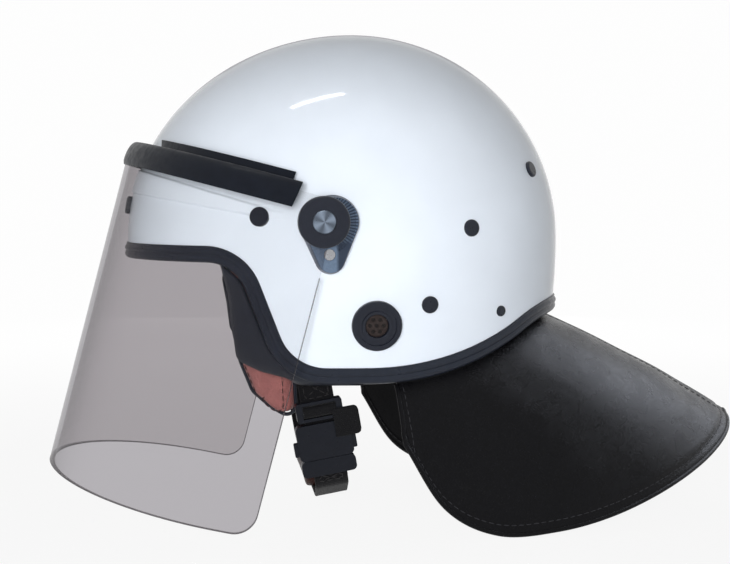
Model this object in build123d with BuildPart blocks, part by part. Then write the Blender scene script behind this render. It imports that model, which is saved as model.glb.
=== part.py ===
from build123d import *
import os
from math import cos, radians, sin, sqrt

# Police riot helmet: moulded shell, foam and cushion lining, hinged clear visor,
# chin strap with a side-release buckle and a leather neck guard.
# The helmet faces -Y, +Z is up and +X is the wearer's left.
# The origin is the centre of the head, level with the two hearing ports.

os.makedirs("parts", exist_ok=True)

# Shell dome: two half ellipsoids of one width, a short tall one above a deep one
dome_half_width = 123.0
dome_front = 152.0
dome_rear = 140.0
dome_height = 137.0
dome_drop = 250.0
dome_centre_y = 6.0
dome_centre_z = 50.0
shell_wall = 4.0

# Edge of the shell in side view: brow line, cheek corner and the rising nape curve
brow_edge_z = 39.0
brow_corner_y = -75.7
brow_corner_radius = 26.0
cheek_corner_y = -47.8
cheek_corner_radius = 38.0
ear_edge_y = 5.0
ear_edge_z = -34.8
nape_rise_radius = 198.5
nape_rise_angle = 31.0
nape_level_radius = 66.5
cut_reach = 300.0

# Raised brow band moulded on the shell
band_rise = 1.2
band_front_y = -165.0
band_mid_y = -93.0
band_rear_y = -50.0
band_top_front_z = 104.0
band_top_mid_z = 81.4
band_top_rear_z = 68.5
band_low_front_z = 84.6
band_low_rear_z = 63.9

# Rubber trim on the shell's edge
trim_wrap = 2.2
trim_cover = 8.5
trim_lip = 1.6

# Padded edging down each side of the face opening
edging_proud = 0.8
edging_depth = 9.0
edging_gap = 0.2
edging_front_top_y = -86.0
edging_front_mid_y = -79.5
edging_front_mid_z = 16.0
edging_front_low_y = -74.0
edging_low_z = -20.0
edging_heel_y = -52.0
edging_heel_z = -29.0
edging_tail_y = -42.0
edging_tail_z = -37.5

# Lining
seat_gap = 0.3
liner_thickness = 25.0
liner_edge_cover = 11.0
ear_bay_rear_y = 30.0
ear_bay_top_z = 26.0
cushion_thickness = 12.5
cushion_round = 4.0
crown_round = 2.0
crown_pad_radius = 60.0
crown_vent_radius = 9.0
brow_pad_low_z = 50.0
brow_pad_high_z = 78.0
brow_pad_rear_y = -8.0
nape_pad_low_z = 16.0
nape_pad_high_z = 49.0
nape_pad_front_y = 52.0

# Cheek pads
cheek_pad_y = -62.0
cheek_pad_z = -5.0
cheek_pad_inset = 17.0
cheek_pad_thickness = 20.0
cheek_pad_round = 6.0
cheek_pad_corner = 8.0
cheek_pad_top = 29.5
cheek_pad_top_front = 23.0
cheek_pad_mid_front = 13.5
cheek_pad_mid_drop = 14.0
cheek_pad_toe = 5.0
cheek_pad_bottom = 46.0
cheek_pad_heel = 19.5
cheek_pad_back = 17.0

# Hearing ports
port_y = 8.2
port_z = 0.0
port_flange_radius = 15.3
port_lip_width = 3.2
port_flange_height = 3.4
port_step = 1.3
port_bore_radius = 7.0
port_tube_radius = 10.4
port_tube_depth = 11.0
port_round = 1.2
grille_thickness = 1.8
grille_recess = 1.4
grille_hole_radius = 1.1
grille_hole_ring = 4.2
grille_hole_count = 6
nut_ring_radius = 15.5
nut_ring_height = 4.0
fit_gap = 0.1

# Caps over the lining studs and press studs on the brow band
cap_radius = 5.3
cap_height = 2.0
cap_round = 1.3
small_cap_radius = 3.4
cap_shank_radius = 2.5
crown_cap_y = 68.1
crown_cap_z = 58.7
ear_cap_y = 41.2
ear_cap_z = 12.2
small_cap_y = 89.6
small_cap_z = 6.2
rear_cap_y = 115.3
rear_cap_z = 95.5
nape_cap_z = 24.0
stud_radius = 6.0
stud_height = 3.2
stud_round = 1.1
stud_side_y = -61.6
stud_side_z = 65.7
stud_front_z = 72.0

# Visor pivots
pivot_y = -25.0
pivot_z = 63.0
visor_half_width = 131.0
visor_wall = 3.0
pivot_clearance = 0.4
base_front_radius = 12.5
base_rear_radius = 14.5
base_rear_shift = 7.0
base_foot_radius = 8.0
base_foot_shift = 5.0
base_foot_drop = 22.5
base_draft = 10.0
tooth_ring_radius = 18.0
tooth_length = 3.6
tooth_width = 1.1
tooth_depth = 0.9
tooth_count = 22
tooth_fan_angle = 60.0
base_screw_drop = 19.7
base_screw_shift = 4.0
screw_head_radius = 3.3
screw_head_height = 1.8
screw_shank_radius = 1.9
screw_slot_width = 0.9
bolt_radius = 4.0
bolt_head_radius = 7.0
bolt_head_height = 2.2
knob_radius = 15.5
knob_thickness = 8.0
knob_round = 2.0
washer_radius = 11.0
washer_thickness = 1.0
boss_radius = 11.5
boss_inset = 10.0
nut_flat_radius = 7.5
nut_thickness = 5.0
plate_radius = 8.8
plate_thickness = 1.4
bush_radius = 6.0

# Visor: a bent sheet on an axis that leans back at the top
visor_tilt = 14.8
visor_reach = 127.7
visor_flat = 16.0
visor_drop = 198.6
visor_drop_rear = 193.4
visor_rise = 14.5
visor_rear = 6.3
visor_corner_radius = 14.0
visor_travel = 52.0
travel_steps = 5

# Rubber seal on the visor's top edge
seal_wall = 3.2
seal_low = 4.0
seal_top = 20.0
seal_ridge_top = 25.0
seal_ledge = 5.5
seal_lip_reach = 17.0
seal_lip_width = 6.0
seal_grip = 6.0
seal_end = 16.5
seal_end_slant = 4.0
seal_clearance = 0.8

# Chin strap, in a plane that leans back below its anchors
anchor_y = -30.0
anchor_z = -26.5
anchor_radius = 3.0
anchor_head_radius = 5.5
anchor_head_height = 1.5
strap_x = 98.5
strap_width = 21.0
strap_thickness = 2.0
strap_rake = 10.0
strap_turn_x = 66.0
strap_turn_drop = 88.0
strap_side_drop = 75.0
strap_side_radius = 9.0
strap_turn_radius = 22.0
slider_top_drop = 22.0
slider_length = 12.0
slider_width = 29.0
slider_bar = 3.0
slider_slot = 2.6
tail_length = 13.0
tail_width = 18.0
socket_top_drop = 36.0
socket_length = 22.0
buckle_width = 34.0
buckle_thickness = 9.0
buckle_wall = 1.8
buckle_round = 3.0
plug_length = 10.0
plug_gap = 0.3
tongue_length = 15.0
tongue_width = 8.0
prong_length = 15.0
prong_width = 4.6
prong_thickness = 4.0
prong_thumb_length = 9.0
prong_thumb_rise = 2.6
prong_window_margin = 1.0
chin_pad_length = 92.0
chin_pad_width = 34.0
chin_pad_thickness = 8.0
chin_pad_round = 3.0

# Neck guard: leather skirt hung inside the trim round the back
guard_front_y = 24.0
guard_length = 248.0
guard_half_width = 120.0
guard_depth = 96.0
guard_thickness = 3.4
guard_tuck = 9.0
guard_bend_drop = 4.0
strip_thickness = 2.4
# Angle of each fold line round the back of the shell, from the centre to the side
guard_turn_angles = (0.0, 14.0, 27.0, 39.0, 50.0, 60.0, 69.0, 76.0, 82.0)
# Hem points as shares of the guard's half width, length and depth
guard_hem_shares = (
    (0.0, 1.0, 0.417),
    (0.283, 0.96, 0.50),
    (0.55, 0.855, 0.635),
    (0.767, 0.71, 0.78),
    (0.917, 0.548, 0.906),
    (0.983, 0.395, 0.98),
    (1.0, 0.242, 0.99),
    (0.983, 0.113, 0.82),
    (0.958, 0.012, 0.41),
)
# Outward bow of each fold line, as a share of its own length
guard_bow_shares = (0.02, 0.035, 0.06, 0.075, 0.07, 0.05, 0.04, 0.03, 0.02)

dome_store = {}


def dome(grow):
    """Solid dome, grown outward by a distance (negative shrinks it)."""
    if grow in dome_store:
        return dome_store[grow]
    quarters = []
    for length, turn in ((dome_front, 180), (dome_rear, 0)):
        for tall, low, high in ((dome_height, 0, 90), (dome_drop, -90, 0)):
            with BuildPart() as quarter:
                Sphere(
                    1,
                    arc_size1=low,
                    arc_size2=high,
                    arc_size3=180,
                    rotation=(0, 0, turn),
                    align=(Align.NONE, Align.NONE, Align.NONE),
                )
                scale(by=(dome_half_width + grow, length + grow, tall + grow))
            quarters.append(quarter.part)
    with BuildPart() as body:
        with Locations((0, dome_centre_y, dome_centre_z)):
            for quarter in quarters:
                add(quarter)
    dome_store[grow] = body.part
    return body.part


def dome_layer(outer, inner):
    """Layer of the dome between two grown surfaces."""
    with BuildPart() as layer:
        add(dome(outer))
        add(dome(inner), mode=Mode.SUBTRACT)
    return layer.part


def edge_zone(grow):
    """Block of space above the shell's edge, its border moved outward by a distance."""
    with BuildPart() as zone:
        with BuildSketch(Plane.YZ):
            with BuildLine():
                front = FilletPolyline(
                    (-cut_reach, brow_edge_z),
                    (brow_corner_y, brow_edge_z),
                    (cheek_corner_y, ear_edge_z),
                    (ear_edge_y, ear_edge_z),
                    radius=(brow_corner_radius, cheek_corner_radius),
                )
                rise = JernArc(front @ 1, front % 1, nape_rise_radius, nape_rise_angle)
                level = JernArc(rise @ 1, rise % 1, nape_level_radius, -nape_rise_angle)
                Polyline(
                    level @ 1,
                    (cut_reach, (level @ 1).Y),
                    (cut_reach, cut_reach),
                    (-cut_reach, cut_reach),
                    (-cut_reach, brow_edge_z),
                )
            make_face()
            if grow:
                offset(amount=grow, mode=Mode.REPLACE)
        extrude(amount=cut_reach, both=True)
    return zone.part


def side_prism(points, reach=None):
    """Prism across the helmet from an outline in the side view, or on the left only."""
    with BuildPart() as prism:
        with BuildSketch(Plane.YZ):
            with BuildLine():
                Polyline(*points, close=True)
            make_face()
        if reach is None:
            extrude(amount=cut_reach, both=True)
        else:
            extrude(amount=reach)
    return prism.part


def side_box(low_y, high_y, low_z, high_z):
    """Prism across the helmet over a rectangle of the side view."""
    return side_prism([(low_y, low_z), (high_y, low_z), (high_y, high_z), (low_y, high_z)])


def dome_x(y, z, grow=0):
    """Half width of the grown dome at a place in the side view."""
    length = dome_front if y < dome_centre_y else dome_rear
    tall = dome_height if z > dome_centre_z else dome_drop
    rest = 1 - ((y - dome_centre_y) / (length + grow)) ** 2 - ((z - dome_centre_z) / (tall + grow)) ** 2
    return (dome_half_width + grow) * sqrt(max(rest, 0))


def seat_plane(x, y, z, grow=0):
    """Plane that touches the grown dome at a point, facing outward, with its y axis upward."""
    length = dome_front if y < dome_centre_y else dome_rear
    tall = dome_height if z > dome_centre_z else dome_drop
    normal = Vector(
        x / (dome_half_width + grow) ** 2,
        (y - dome_centre_y) / (length + grow) ** 2,
        (z - dome_centre_z) / (tall + grow) ** 2,
    ).normalized()
    across = Vector(0, 0, 1).cross(normal).normalized()
    return Plane(origin=(x, y, z), x_dir=across, z_dir=normal)


def side_seat(y, z, grow=0):
    """Seat plane on the wearer's left at a place in the side view."""
    return seat_plane(dome_x(y, z, grow), y, z, grow)


def front_seat(z):
    """Seat plane on the centre line of the brow."""
    reach = dome_front * sqrt(1 - ((z - dome_centre_z) / dome_height) ** 2)
    return seat_plane(0, dome_centre_y - reach, z)


def rear_seat(z):
    """Seat plane on the centre line of the nape."""
    reach = dome_rear * sqrt(1 - ((z - dome_centre_z) / dome_drop) ** 2)
    return seat_plane(0, dome_centre_y + reach, z)


def edge_height(y):
    """Height of the shell's edge behind the ear, at a distance along the helmet."""
    turn = radians(nape_rise_angle)
    rise_end_y = ear_edge_y + nape_rise_radius * sin(turn)
    rise_end_z = ear_edge_z + nape_rise_radius * (1 - cos(turn))
    level_y = rise_end_y + nape_level_radius * sin(turn)
    level_z = rise_end_z + nape_level_radius * (1 - cos(turn))
    if y <= ear_edge_y:
        return ear_edge_z
    if y <= rise_end_y:
        return ear_edge_z + nape_rise_radius - sqrt(nape_rise_radius**2 - (y - ear_edge_y) ** 2)
    if y <= level_y:
        return level_z - nape_level_radius + sqrt(nape_level_radius**2 - (level_y - y) ** 2)
    return level_z


def twin(part):
    """The same piece on the wearer's right."""
    with BuildPart() as other:
        mirror(part, about=Plane.YZ)
    return other.part


def save(part, name):
    part.label = name
    export_step(part, f"parts/{name}.step")


def save_pair(part, name):
    save(part, f"{name}_left")
    save(twin(part), f"{name}_right")


# Visor frame: its origin is on the pivot axis, y runs back and z runs up the visor
visor_lean = radians(visor_tilt)
visor_plane = Plane(
    origin=(0, pivot_y, pivot_z),
    x_dir=(1, 0, 0),
    z_dir=(0, sin(visor_lean), cos(visor_lean)),
)
visor_side = Plane(
    origin=(0, pivot_y, pivot_z),
    x_dir=(0, cos(visor_lean), -sin(visor_lean)),
    z_dir=(1, 0, 0),
)
pivot_axis = Axis((0, pivot_y, pivot_z), (1, 0, 0))
visor_inner_x = visor_half_width - visor_wall
base_face_x = visor_inner_x - pivot_clearance
knob_inner_x = visor_half_width + pivot_clearance
boss_face_x = dome_x(pivot_y, pivot_z) - boss_inset + shell_wall
anchor_end_x = dome_x(anchor_y, anchor_z) - shell_wall / 2
screw_end_x = dome_x(pivot_y + base_screw_shift, pivot_z - base_screw_drop) - shell_wall / 2

# Shell
brow_band = side_prism([
    (band_front_y, band_top_front_z),
    (band_mid_y, band_top_mid_z),
    (band_rear_y, band_top_rear_z),
    (band_rear_y, band_low_rear_z),
    (band_front_y, band_low_front_z),
])

with BuildPart() as band:
    add(dome_layer(band_rise, -shell_wall / 2))
    add(brow_band, mode=Mode.INTERSECT)

with BuildPart() as boss:
    with BuildSketch(Plane.YZ.offset(boss_face_x)):
        with Locations((pivot_y, pivot_z)):
            Circle(boss_radius)
    extrude(amount=boss_inset)
    add(dome(-shell_wall / 2), mode=Mode.INTERSECT)

cap_seats = [
    side_seat(crown_cap_y, crown_cap_z),
    side_seat(ear_cap_y, ear_cap_z),
    side_seat(rear_cap_y, rear_cap_z),
]
small_cap_seat = side_seat(small_cap_y, small_cap_z)
nape_cap_seat = rear_seat(nape_cap_z)
stud_side_seat = side_seat(stud_side_y, stud_side_z)
stud_front_seat = front_seat(stud_front_z)
port_seat = side_seat(port_y, port_z)

with BuildPart() as half_holes:
    for seat in cap_seats + [small_cap_seat, nape_cap_seat, stud_side_seat, stud_front_seat]:
        with BuildSketch(seat.offset(-shell_wall * 2)):
            Circle(cap_shank_radius)
        extrude(amount=shell_wall * 4)
    with BuildSketch(port_seat.offset(-shell_wall * 2)):
        Circle(port_tube_radius + fit_gap)
    extrude(amount=shell_wall * 4)
    with BuildSketch(Plane.YZ.offset(boss_face_x - boss_inset)):
        with Locations((pivot_y, pivot_z)):
            Circle(bolt_radius + fit_gap)
        with Locations((pivot_y + base_screw_shift, pivot_z - base_screw_drop)):
            Circle(screw_shank_radius)
    extrude(amount=boss_inset * 4)
    with BuildSketch(Plane.YZ.offset(strap_x)):
        with Locations((anchor_y, anchor_z)):
            Circle(anchor_radius)
    extrude(amount=anchor_end_x - strap_x)

with BuildPart() as shell:
    add(dome_layer(0, -shell_wall))
    add(band.part)
    add(boss.part)
    add(twin(boss.part))
    add(edge_zone(0), mode=Mode.INTERSECT)
    add(half_holes.part, mode=Mode.SUBTRACT)
    add(twin(half_holes.part), mode=Mode.SUBTRACT)
save(shell.part, "shell")

# Rubber trim: grips both faces of the shell along its whole edge
with BuildPart() as rim_trim:
    add(dome_layer(trim_wrap, -shell_wall - trim_wrap))
    add(edge_zone(trim_lip), mode=Mode.INTERSECT)
    add(edge_zone(-trim_cover), mode=Mode.SUBTRACT)
    add(shell.part, mode=Mode.SUBTRACT)
    add(half_holes.part, mode=Mode.SUBTRACT)
    add(twin(half_holes.part), mode=Mode.SUBTRACT)
save(rim_trim.part, "rim_trim")

# Padded edging of the face opening
edging_top_z = brow_edge_z - trim_lip - edging_gap
edging_prism = side_prism(
    [
        (edging_front_top_y, edging_top_z),
        (edging_front_mid_y, edging_front_mid_z),
        (edging_front_low_y, edging_low_z),
        (edging_heel_y, edging_heel_z),
        (edging_tail_y, edging_tail_z),
        (ear_edge_y, edging_tail_z),
        (ear_edge_y, edging_top_z),
    ],
    cut_reach,
)
with BuildPart() as face_edging:
    add(dome_layer(edging_proud, -edging_depth))
    add(edging_prism, mode=Mode.INTERSECT)
    add(edge_zone(trim_lip + edging_gap), mode=Mode.SUBTRACT)
save_pair(face_edging.part, "face_edging")

# Foam liner, open over the ears and pocketed round the pivot nuts
liner_outer = -shell_wall - seat_gap
liner_inner = liner_outer - liner_thickness
pocket_radius = boss_radius + seat_gap
with BuildPart() as ear_bay:
    with BuildSketch(Plane.YZ):
        with BuildLine():
            Polyline(
                (-cut_reach, ear_bay_top_z),
                (ear_bay_rear_y, ear_bay_top_z),
                (ear_bay_rear_y, -cut_reach),
                (-cut_reach, -cut_reach),
                close=True,
            )
        make_face()
    extrude(amount=cut_reach, both=True)
with BuildPart() as pockets:
    with BuildSketch(Plane.YZ):
        with Locations((pivot_y, pivot_z)):
            Circle(pocket_radius)
    extrude(amount=cut_reach, both=True)
    add(dome(-shell_wall - boss_inset - nut_thickness), mode=Mode.SUBTRACT)
with BuildPart() as impact_liner:
    add(dome_layer(liner_outer, liner_inner))
    add(edge_zone(-liner_edge_cover), mode=Mode.INTERSECT)
    add(ear_bay.part, mode=Mode.SUBTRACT)
    add(pockets.part, mode=Mode.SUBTRACT)
save(impact_liner.part, "impact_liner")

# Cushions inside the liner
cushion_outer = liner_inner - seat_gap
cushion_inner = cushion_outer - cushion_thickness
cushion_layer = dome_layer(cushion_outer, cushion_inner)
with BuildPart() as crown_pad:
    with BuildSketch(Plane.XY.offset(dome_centre_z)):
        with Locations((0, dome_centre_y)):
            Circle(crown_pad_radius)
            Circle(crown_vent_radius, mode=Mode.SUBTRACT)
    extrude(amount=cut_reach)
    add(cushion_layer, mode=Mode.INTERSECT)
    fillet(edges().filter_by(lambda edge: abs(edge.center().Y - dome_centre_y) > seat_gap), crown_round)
save(crown_pad.part, "crown_pad")

with BuildPart() as brow_pad:
    add(cushion_layer)
    add(side_box(-cut_reach, brow_pad_rear_y, brow_pad_low_z, brow_pad_high_z), mode=Mode.INTERSECT)
    fillet(edges(), cushion_round)
save(brow_pad.part, "brow_pad")

with BuildPart() as nape_pad:
    add(cushion_layer)
    add(side_box(nape_pad_front_y, cut_reach, nape_pad_low_z, nape_pad_high_z), mode=Mode.INTERSECT)
    fillet(edges(), cushion_round)
save(nape_pad.part, "nape_pad")

# Cheek pads: crowned leather pads whose lower lobes hang below the trim
pad_seat = side_seat(cheek_pad_y, cheek_pad_z, -cheek_pad_inset)
with BuildPart() as cheek_pad:
    with BuildSketch(pad_seat):
        with BuildLine():
            FilletPolyline(
                (-cheek_pad_top_front, cheek_pad_top),
                (-cheek_pad_mid_front, -cheek_pad_mid_drop),
                (cheek_pad_toe, -cheek_pad_bottom),
                (cheek_pad_heel, -cheek_pad_bottom),
                (cheek_pad_back, cheek_pad_top),
                radius=cheek_pad_corner,
                close=True,
            )
        make_face()
    extrude(amount=-cheek_pad_thickness)
    fillet(edges().filter_by(lambda edge: abs(edge.tangent_at(0.5).dot(pad_seat.z_dir)) < 0.1), cheek_pad_round)
save_pair(cheek_pad.part, "cheek_pad")

# Hearing ports: flanged ring with a raised lip, a drilled insert and a ring nut inside
port_axis = Axis(port_seat.origin, port_seat.z_dir)
grille_base = port_flange_height - port_step - grille_recess - grille_thickness
with BuildPart() as hearing_port:
    with BuildSketch(port_seat.offset(-shell_wall / 2)):
        Circle(port_flange_radius)
        Circle(port_bore_radius, mode=Mode.SUBTRACT)
    extrude(amount=shell_wall / 2 + port_flange_height)
    fillet(edges().sort_by(port_axis)[-2:], port_round)
    with BuildSketch(port_seat.offset(port_flange_height - port_step)):
        Circle(port_flange_radius - port_lip_width)
        Circle(port_tube_radius - port_step, mode=Mode.SUBTRACT)
    extrude(amount=port_step, mode=Mode.SUBTRACT)
    add(dome(0), mode=Mode.SUBTRACT)
    with BuildSketch(port_seat.offset(-port_tube_depth)):
        Circle(port_tube_radius)
        Circle(port_bore_radius, mode=Mode.SUBTRACT)
    extrude(amount=port_tube_depth + port_step)
save_pair(hearing_port.part, "hearing_port")

with BuildPart() as port_grille:
    with BuildSketch(port_seat.offset(grille_base)):
        Circle(port_bore_radius - fit_gap / 2)
        Circle(grille_hole_radius, mode=Mode.SUBTRACT)
        with PolarLocations(grille_hole_ring, grille_hole_count):
            Circle(grille_hole_radius, mode=Mode.SUBTRACT)
    extrude(amount=grille_thickness)
save_pair(port_grille.part, "port_grille")

with BuildPart() as port_nut:
    with BuildSketch(port_seat.offset(-shell_wall / 2)):
        Circle(nut_ring_radius)
        Circle(port_tube_radius + fit_gap, mode=Mode.SUBTRACT)
    extrude(amount=-shell_wall / 2 - nut_ring_height)
    add(shell.part, mode=Mode.SUBTRACT)
save_pair(port_nut.part, "port_nut")


def headed_stud(seat, radius, height, rounding):
    """Round cap on the shell with its shank through the wall to the liner."""
    with BuildPart() as stud:
        with BuildSketch(seat.offset(-shell_wall / 2)):
            Circle(radius)
        extrude(amount=shell_wall / 2 + height)
        fillet(edges().sort_by(Axis(seat.origin, seat.z_dir))[-1:], rounding)
        add(shell.part, mode=Mode.SUBTRACT)
        with BuildSketch(seat.offset(-shell_wall)):
            Circle(cap_shank_radius)
        extrude(amount=shell_wall)
    return stud.part


# Caps over the studs that hold the lining
side_caps = [headed_stud(seat, cap_radius, cap_height, cap_round) for seat in cap_seats]
with BuildPart() as liner_caps:
    for cap in side_caps:
        add(cap)
        add(twin(cap))
    add(headed_stud(nape_cap_seat, cap_radius, cap_height, cap_round))
save(liner_caps.part, "liner_caps")

small_cap = headed_stud(small_cap_seat, small_cap_radius, cap_height, cap_round)
with BuildPart() as small_caps:
    add(small_cap)
    add(twin(small_cap))
save(small_caps.part, "small_caps")

# Press studs on the brow band
side_stud = headed_stud(stud_side_seat, stud_radius, stud_height, stud_round)
with BuildPart() as brow_studs:
    add(side_stud)
    add(twin(side_stud))
    add(headed_stud(stud_front_seat, stud_radius, stud_height, stud_round))
save(brow_studs.part, "brow_studs")

# Pivot base: thick teardrop block seated on the shell, toothed behind the knob
with BuildPart() as pivot_base:
    with BuildSketch(Plane.YZ.offset(base_face_x)):
        with Locations((pivot_y, pivot_z)):
            Circle(base_front_radius)
        with Locations((pivot_y + base_rear_shift, pivot_z)):
            Circle(base_rear_radius)
        with Locations((pivot_y + base_foot_shift, pivot_z - base_foot_drop)):
            Circle(base_foot_radius)
        make_hull()
    extrude(amount=boss_face_x - base_face_x, taper=-base_draft)
    add(dome(0), mode=Mode.SUBTRACT)
    with BuildSketch(Plane.YZ.offset(base_face_x)):
        with Locations((pivot_y, pivot_z)):
            Circle(bolt_radius + fit_gap)
        with Locations((pivot_y + base_screw_shift, pivot_z - base_screw_drop)):
            Circle(screw_shank_radius + fit_gap)
    extrude(amount=boss_face_x - base_face_x, mode=Mode.SUBTRACT)
    with BuildSketch(Plane.YZ.offset(base_face_x)):
        with Locations((pivot_y + base_screw_shift, pivot_z - base_screw_drop)):
            Circle(screw_head_radius + fit_gap)
    extrude(amount=-screw_head_height - fit_gap, mode=Mode.SUBTRACT)
    with BuildSketch(Plane.YZ.offset(base_face_x)):
        with Locations((pivot_y, pivot_z)):
            with PolarLocations(tooth_ring_radius, tooth_count, -tooth_fan_angle, 2 * tooth_fan_angle):
                Rectangle(tooth_length, tooth_width)
    extrude(amount=-tooth_depth, mode=Mode.SUBTRACT)
save_pair(pivot_base.part, "pivot_base")

# Cross-head screw that stops the base from turning
with BuildPart() as base_screw:
    with BuildSketch(Plane.YZ.offset(base_face_x - screw_head_height - fit_gap)):
        with Locations((pivot_y + base_screw_shift, pivot_z - base_screw_drop)):
            Circle(screw_head_radius)
    extrude(amount=screw_head_height)
    with BuildSketch(Plane.YZ.offset(base_face_x - fit_gap)):
        with Locations((pivot_y + base_screw_shift, pivot_z - base_screw_drop)):
            Rectangle(screw_head_radius, screw_slot_width)
            Rectangle(screw_slot_width, screw_head_radius)
    extrude(amount=-screw_slot_width, mode=Mode.SUBTRACT)
    with BuildSketch(Plane.YZ.offset(base_face_x - screw_head_height - fit_gap)):
        with Locations((pivot_y + base_screw_shift, pivot_z - base_screw_drop)):
            Circle(screw_shank_radius)
    extrude(amount=screw_end_x - base_face_x + screw_head_height + fit_gap)
with BuildPart() as base_screws:
    add(base_screw.part)
    add(twin(base_screw.part))
save(base_screws.part, "base_screws")

# Pivot bolt with its round metal head, plate and nut inside the shell
knob_outer_x = knob_inner_x + knob_thickness
head_seat_x = knob_outer_x - bolt_head_height + fit_gap * 4
nut_inner_x = boss_face_x - plate_thickness - nut_thickness
with BuildPart() as pivot_bolt:
    with BuildSketch(Plane.YZ.offset(nut_inner_x - plate_thickness)):
        with Locations((pivot_y, pivot_z)):
            Circle(bolt_radius)
    extrude(amount=head_seat_x - nut_inner_x + plate_thickness)
    with BuildSketch(Plane.YZ.offset(head_seat_x)):
        with Locations((pivot_y, pivot_z)):
            Circle(bolt_head_radius)
    extrude(amount=bolt_head_height)
    chamfer(edges().sort_by(Axis.X)[-1:], bolt_head_height / 4)
save_pair(pivot_bolt.part, "pivot_bolt")

with BuildPart() as pivot_nut:
    with BuildSketch(Plane.YZ.offset(nut_inner_x)):
        with Locations((pivot_y, pivot_z)):
            RegularPolygon(nut_flat_radius, 6)
            Circle(bolt_radius, mode=Mode.SUBTRACT)
    extrude(amount=nut_thickness)
with BuildPart() as pivot_nuts:
    add(pivot_nut.part)
    add(twin(pivot_nut.part))
save(pivot_nuts.part, "pivot_nuts")

with BuildPart() as pivot_plate:
    with BuildSketch(Plane.YZ.offset(boss_face_x - plate_thickness)):
        with Locations((pivot_y, pivot_z)):
            Circle(plate_radius)
            Circle(bolt_radius + fit_gap, mode=Mode.SUBTRACT)
    extrude(amount=plate_thickness)
with BuildPart() as pivot_plates:
    add(pivot_plate.part)
    add(twin(pivot_plate.part))
save(pivot_plates.part, "pivot_plates")

# Pivot knob: round black cap that clamps the visor through a friction washer
with BuildPart() as pivot_knob:
    with BuildSketch(Plane.YZ.offset(knob_inner_x)):
        with Locations((pivot_y, pivot_z)):
            Circle(knob_radius)
            Circle(bolt_radius + fit_gap, mode=Mode.SUBTRACT)
    extrude(amount=knob_thickness)
    fillet(edges().sort_by(Axis.X)[-2:].sort_by(SortBy.RADIUS)[-1:], knob_round)
    with BuildSketch(Plane.YZ.offset(head_seat_x)):
        with Locations((pivot_y, pivot_z)):
            Circle(bolt_head_radius + fit_gap)
    extrude(amount=bolt_head_height, mode=Mode.SUBTRACT)
    with BuildSketch(Plane.YZ.offset(knob_inner_x)):
        with Locations((pivot_y, pivot_z)):
            Circle(washer_radius + fit_gap)
    extrude(amount=washer_thickness - fit_gap, mode=Mode.SUBTRACT)
save_pair(pivot_knob.part, "pivot_knob")

with BuildPart() as friction_washer:
    with BuildSketch(Plane.YZ.offset(knob_inner_x - fit_gap)):
        with Locations((pivot_y, pivot_z)):
            Circle(washer_radius)
            Circle(bush_radius + pivot_clearance, mode=Mode.SUBTRACT)
    extrude(amount=washer_thickness)
save_pair(friction_washer.part, "friction_washer")


def visor_ring(outer, inner, low, high, rear):
    """Ring that follows the visor's plan between two grown outlines and two heights."""
    with BuildPart() as ring:
        with BuildSketch(visor_plane.offset(low)):
            for grow, how in ((outer, Mode.ADD), (inner, Mode.SUBTRACT)):
                with Locations((0, -visor_flat)):
                    Ellipse(visor_half_width + grow, visor_reach - visor_flat + grow, mode=how)
                    Rectangle(
                        2 * (visor_half_width + grow),
                        visor_flat + rear,
                        align=(Align.CENTER, Align.MIN),
                        mode=how,
                    )
            with Locations((0, rear)):
                Rectangle(cut_reach, cut_reach, align=(Align.CENTER, Align.MIN), mode=Mode.SUBTRACT)
        extrude(amount=high - low)
    return ring.part


# Visor: clear bent sheet with an eye round each pivot
with BuildPart() as visor_outline:
    with BuildSketch(visor_side):
        with BuildLine():
            bottom = FilletPolyline(
                (-visor_reach, -visor_drop),
                (visor_rear, -visor_drop_rear),
                (visor_rear, 0),
                radius=visor_corner_radius,
            )
            Polyline(
                bottom @ 1,
                (0, visor_rise),
                (-cut_reach, visor_rise),
                (-cut_reach, -visor_drop),
                bottom @ 0,
            )
        make_face()
        Circle(visor_rise)
        Circle(bush_radius, mode=Mode.SUBTRACT)
    extrude(amount=cut_reach, both=True)
with BuildPart() as visor:
    add(visor_ring(0, -visor_wall, -visor_drop, visor_rise, visor_rise))
    add(visor_outline.part, mode=Mode.INTERSECT)
save(visor.part, "visor")

with BuildPart() as visor_bush:
    with BuildSketch(Plane.YZ.offset(visor_inner_x)):
        with Locations((pivot_y, pivot_z)):
            Circle(bush_radius)
            Circle(bolt_radius + fit_gap, mode=Mode.SUBTRACT)
    extrude(amount=visor_wall)
save_pair(visor_bush.part, "visor_bush")

# Rubber seal along the visor's top edge, its lip cut back by the dome it passes
seal_base = seal_top - seal_ledge
lip_outer = -visor_wall - seal_lip_reach + seal_lip_width
lip_inner = -visor_wall - seal_lip_reach
with BuildPart() as seal_outline:
    with BuildSketch(visor_side):
        with BuildLine():
            Polyline(
                (-cut_reach, seal_low),
                (-seal_end - seal_end_slant, seal_low),
                (-seal_end, seal_ridge_top),
                (-cut_reach, seal_ridge_top),
                close=True,
            )
        make_face()
    extrude(amount=cut_reach, both=True)
with BuildPart() as visor_seal:
    add(visor_ring(seal_wall, 0, seal_low, seal_top, 0))
    add(visor_ring(seal_wall, lip_inner, seal_base, seal_top, 0))
    add(visor_ring(lip_outer, lip_inner, seal_base, seal_ridge_top, 0))
    add(visor_ring(-visor_wall, -visor_wall - seal_wall, seal_base - seal_grip, seal_base, 0))
    add(seal_outline.part, mode=Mode.INTERSECT)
    for step in range(travel_steps + 1):
        turned = dome(seal_clearance).rotate(pivot_axis, visor_travel * step / travel_steps)
        add(turned, mode=Mode.SUBTRACT)
save(visor_seal.part, "visor_seal")

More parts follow.
